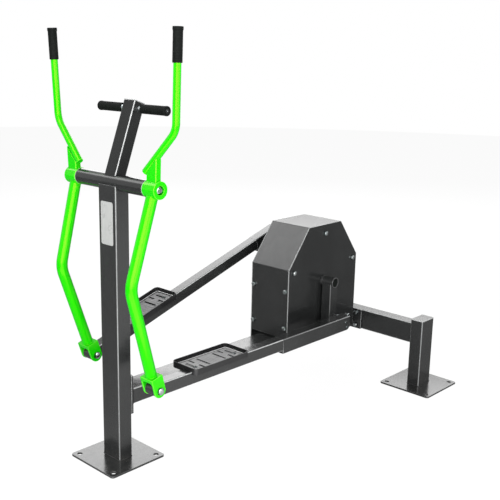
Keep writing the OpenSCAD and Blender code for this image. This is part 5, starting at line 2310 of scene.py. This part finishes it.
@dataclass
class Studio:
    """Floor, lamps, background and the camera at the photograph's angle."""

    camera_at: Triple = (2.3531, -1.8557, 1.5532)
    yaw: float = 44.734
    pitch: float = 13.401
    roll: float = 0.652
    lens: float = 59.95
    shift: Pair = (0.0721, -0.0069)
    middle: Triple = (0.05, 0.7, 0.7)
    floor_r: float = 14.0
    # Middle of the pool of light painted on the floor for reflections
    pool: Triple = (2.4, 1.7, 0.0)

    def build(self) -> None:
        """Set up the whole studio."""
        scene = bpy.context.scene
        scene.view_settings.view_transform = "Standard"
        self._floor()
        self._world(scene)
        for lamp in LAMPS:
            lamp.hang(self.middle)
        self._camera(scene)

    def _camera(self, scene: bpy.types.Scene) -> None:
        """Place the camera.

        Args:
            scene: The scene.
        """
        yaw, pitch, roll = (math.radians(a) for a in (self.yaw, self.pitch, self.roll))
        ahead = Vector((-math.sin(yaw) * math.cos(pitch), math.cos(yaw) * math.cos(pitch), -math.sin(pitch)))
        right = Vector((math.cos(yaw), math.sin(yaw), 0.0))
        up = right.cross(ahead)
        rolled = right * math.cos(roll) + up * math.sin(roll)
        rolled_up = up * math.cos(roll) - right * math.sin(roll)
        data = bpy.data.cameras.new("camera")
        data.sensor_width = 36.0
        data.lens = self.lens
        data.shift_x, data.shift_y = self.shift
        data.clip_end = 100.0
        camera = bpy.data.objects.new("camera", data)
        basis = Matrix((rolled, rolled_up, -ahead)).transposed()
        camera.matrix_world = Matrix.Translation(self.camera_at) @ basis.to_4x4()
        scene.collection.objects.link(camera)
        scene.camera = camera

    def _world(self, scene: bpy.types.Scene) -> None:
        """Light the scene evenly and show white behind it.

        Args:
            scene: The scene.
        """
        world = bpy.data.worlds.new("studio")
        world.use_nodes = True
        scene.world = world
        graph = Graph(world.node_tree)
        path = graph.node("ShaderNodeLightPath").outputs
        seen = graph.math("MAXIMUM", path["Is Camera Ray"], path["Is Transmission Ray"])
        seen = graph.math("MAXIMUM", seen, path["Is Glossy Ray"])
        strength = graph.add(0.5, graph.mul(seen, 0.5))
        back = graph.node("ShaderNodeBackground", {"Color": grey(1.0), "Strength": strength})
        graph.node("ShaderNodeOutputWorld", {"Surface": back.outputs[0]})

    def _floor(self) -> None:
        """Lay the pale floor, which shows near white and keeps the shadow; to reflections it shows a painted
        pool of light.
        """
        bm = bmesh.new()
        bmesh.ops.create_circle(bm, cap_ends=True, segments=96, radius=self.floor_r)
        mesh = bpy.data.meshes.new("floor")
        bm.to_mesh(mesh)
        bm.free()
        material = bpy.data.materials.new("floor")
        material.use_nodes = True
        graph = Graph(material.node_tree)
        path = graph.node("ShaderNodeLightPath").outputs
        place = graph.node("ShaderNodeTexCoord").outputs["Object"]
        tone = graph.blend(graph.noise(place, 3.0, 3.0), grey(0.78), grey(0.8))
        lit = graph.node("ShaderNodeBsdfDiffuse", {"Color": tone})
        seen = graph.math("MAXIMUM", path["Is Camera Ray"], path["Is Transmission Ray"])
        glow = graph.node("ShaderNodeEmission", {"Color": grey(1.0), "Strength": 1.03})
        parts = {0: graph.mul(seen, 0.88), 1: lit.outputs[0], 2: glow.outputs[0]}
        mixed = graph.node("ShaderNodeMixShader", parts)
        # Painted light: glossy rays see the floor glow, bright in a long pool before the machine and dim away
        # from it
        inputs = {
            "Vector": place, "Location": self.pool, "Rotation": (0.0, 0.0, math.pi / 4),
            "Scale": (2.8, 0.8, 1.0),
        }
        long_pool = graph.out("ShaderNodeMapping", inputs, vector_type="TEXTURE")
        away = graph.node("ShaderNodeVectorMath", {0: long_pool}, operation="LENGTH").outputs["Value"]
        pool = graph.span(away, 0.4, 1.7, 1.25, 0.34)
        painted_pool_glow = graph.node("ShaderNodeEmission", {"Color": grey(1.0), "Strength": pool})
        parts = {0: path["Is Glossy Ray"], 1: mixed.outputs[0], 2: painted_pool_glow.outputs[0]}
        final = graph.node("ShaderNodeMixShader", parts)
        graph.node("ShaderNodeOutputMaterial", {"Surface": final.outputs[0]})
        mesh.materials.append(material)
        floor = bpy.data.objects.new("floor", mesh)
        show(floor)


def main() -> None:
    """Load the frame, dress it and set the studio up."""
    logging.basicConfig(level=logging.INFO, format="%(name)s: %(message)s")
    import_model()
    link = Linkage()
    shop = Workshop()
    Studio().build()
    groups = [GroundFrame(shop), LeverAxis(shop), UpperPost(shop), LabelPlate()]
    groups += [Housing(shop), Crank(shop, link)]
    for side in Side:
        groups += [HandLever(shop, link, side), PedalArm(shop, link, side)]
    for group in groups:
        group.build()


if __name__ == "__main__":
    main()
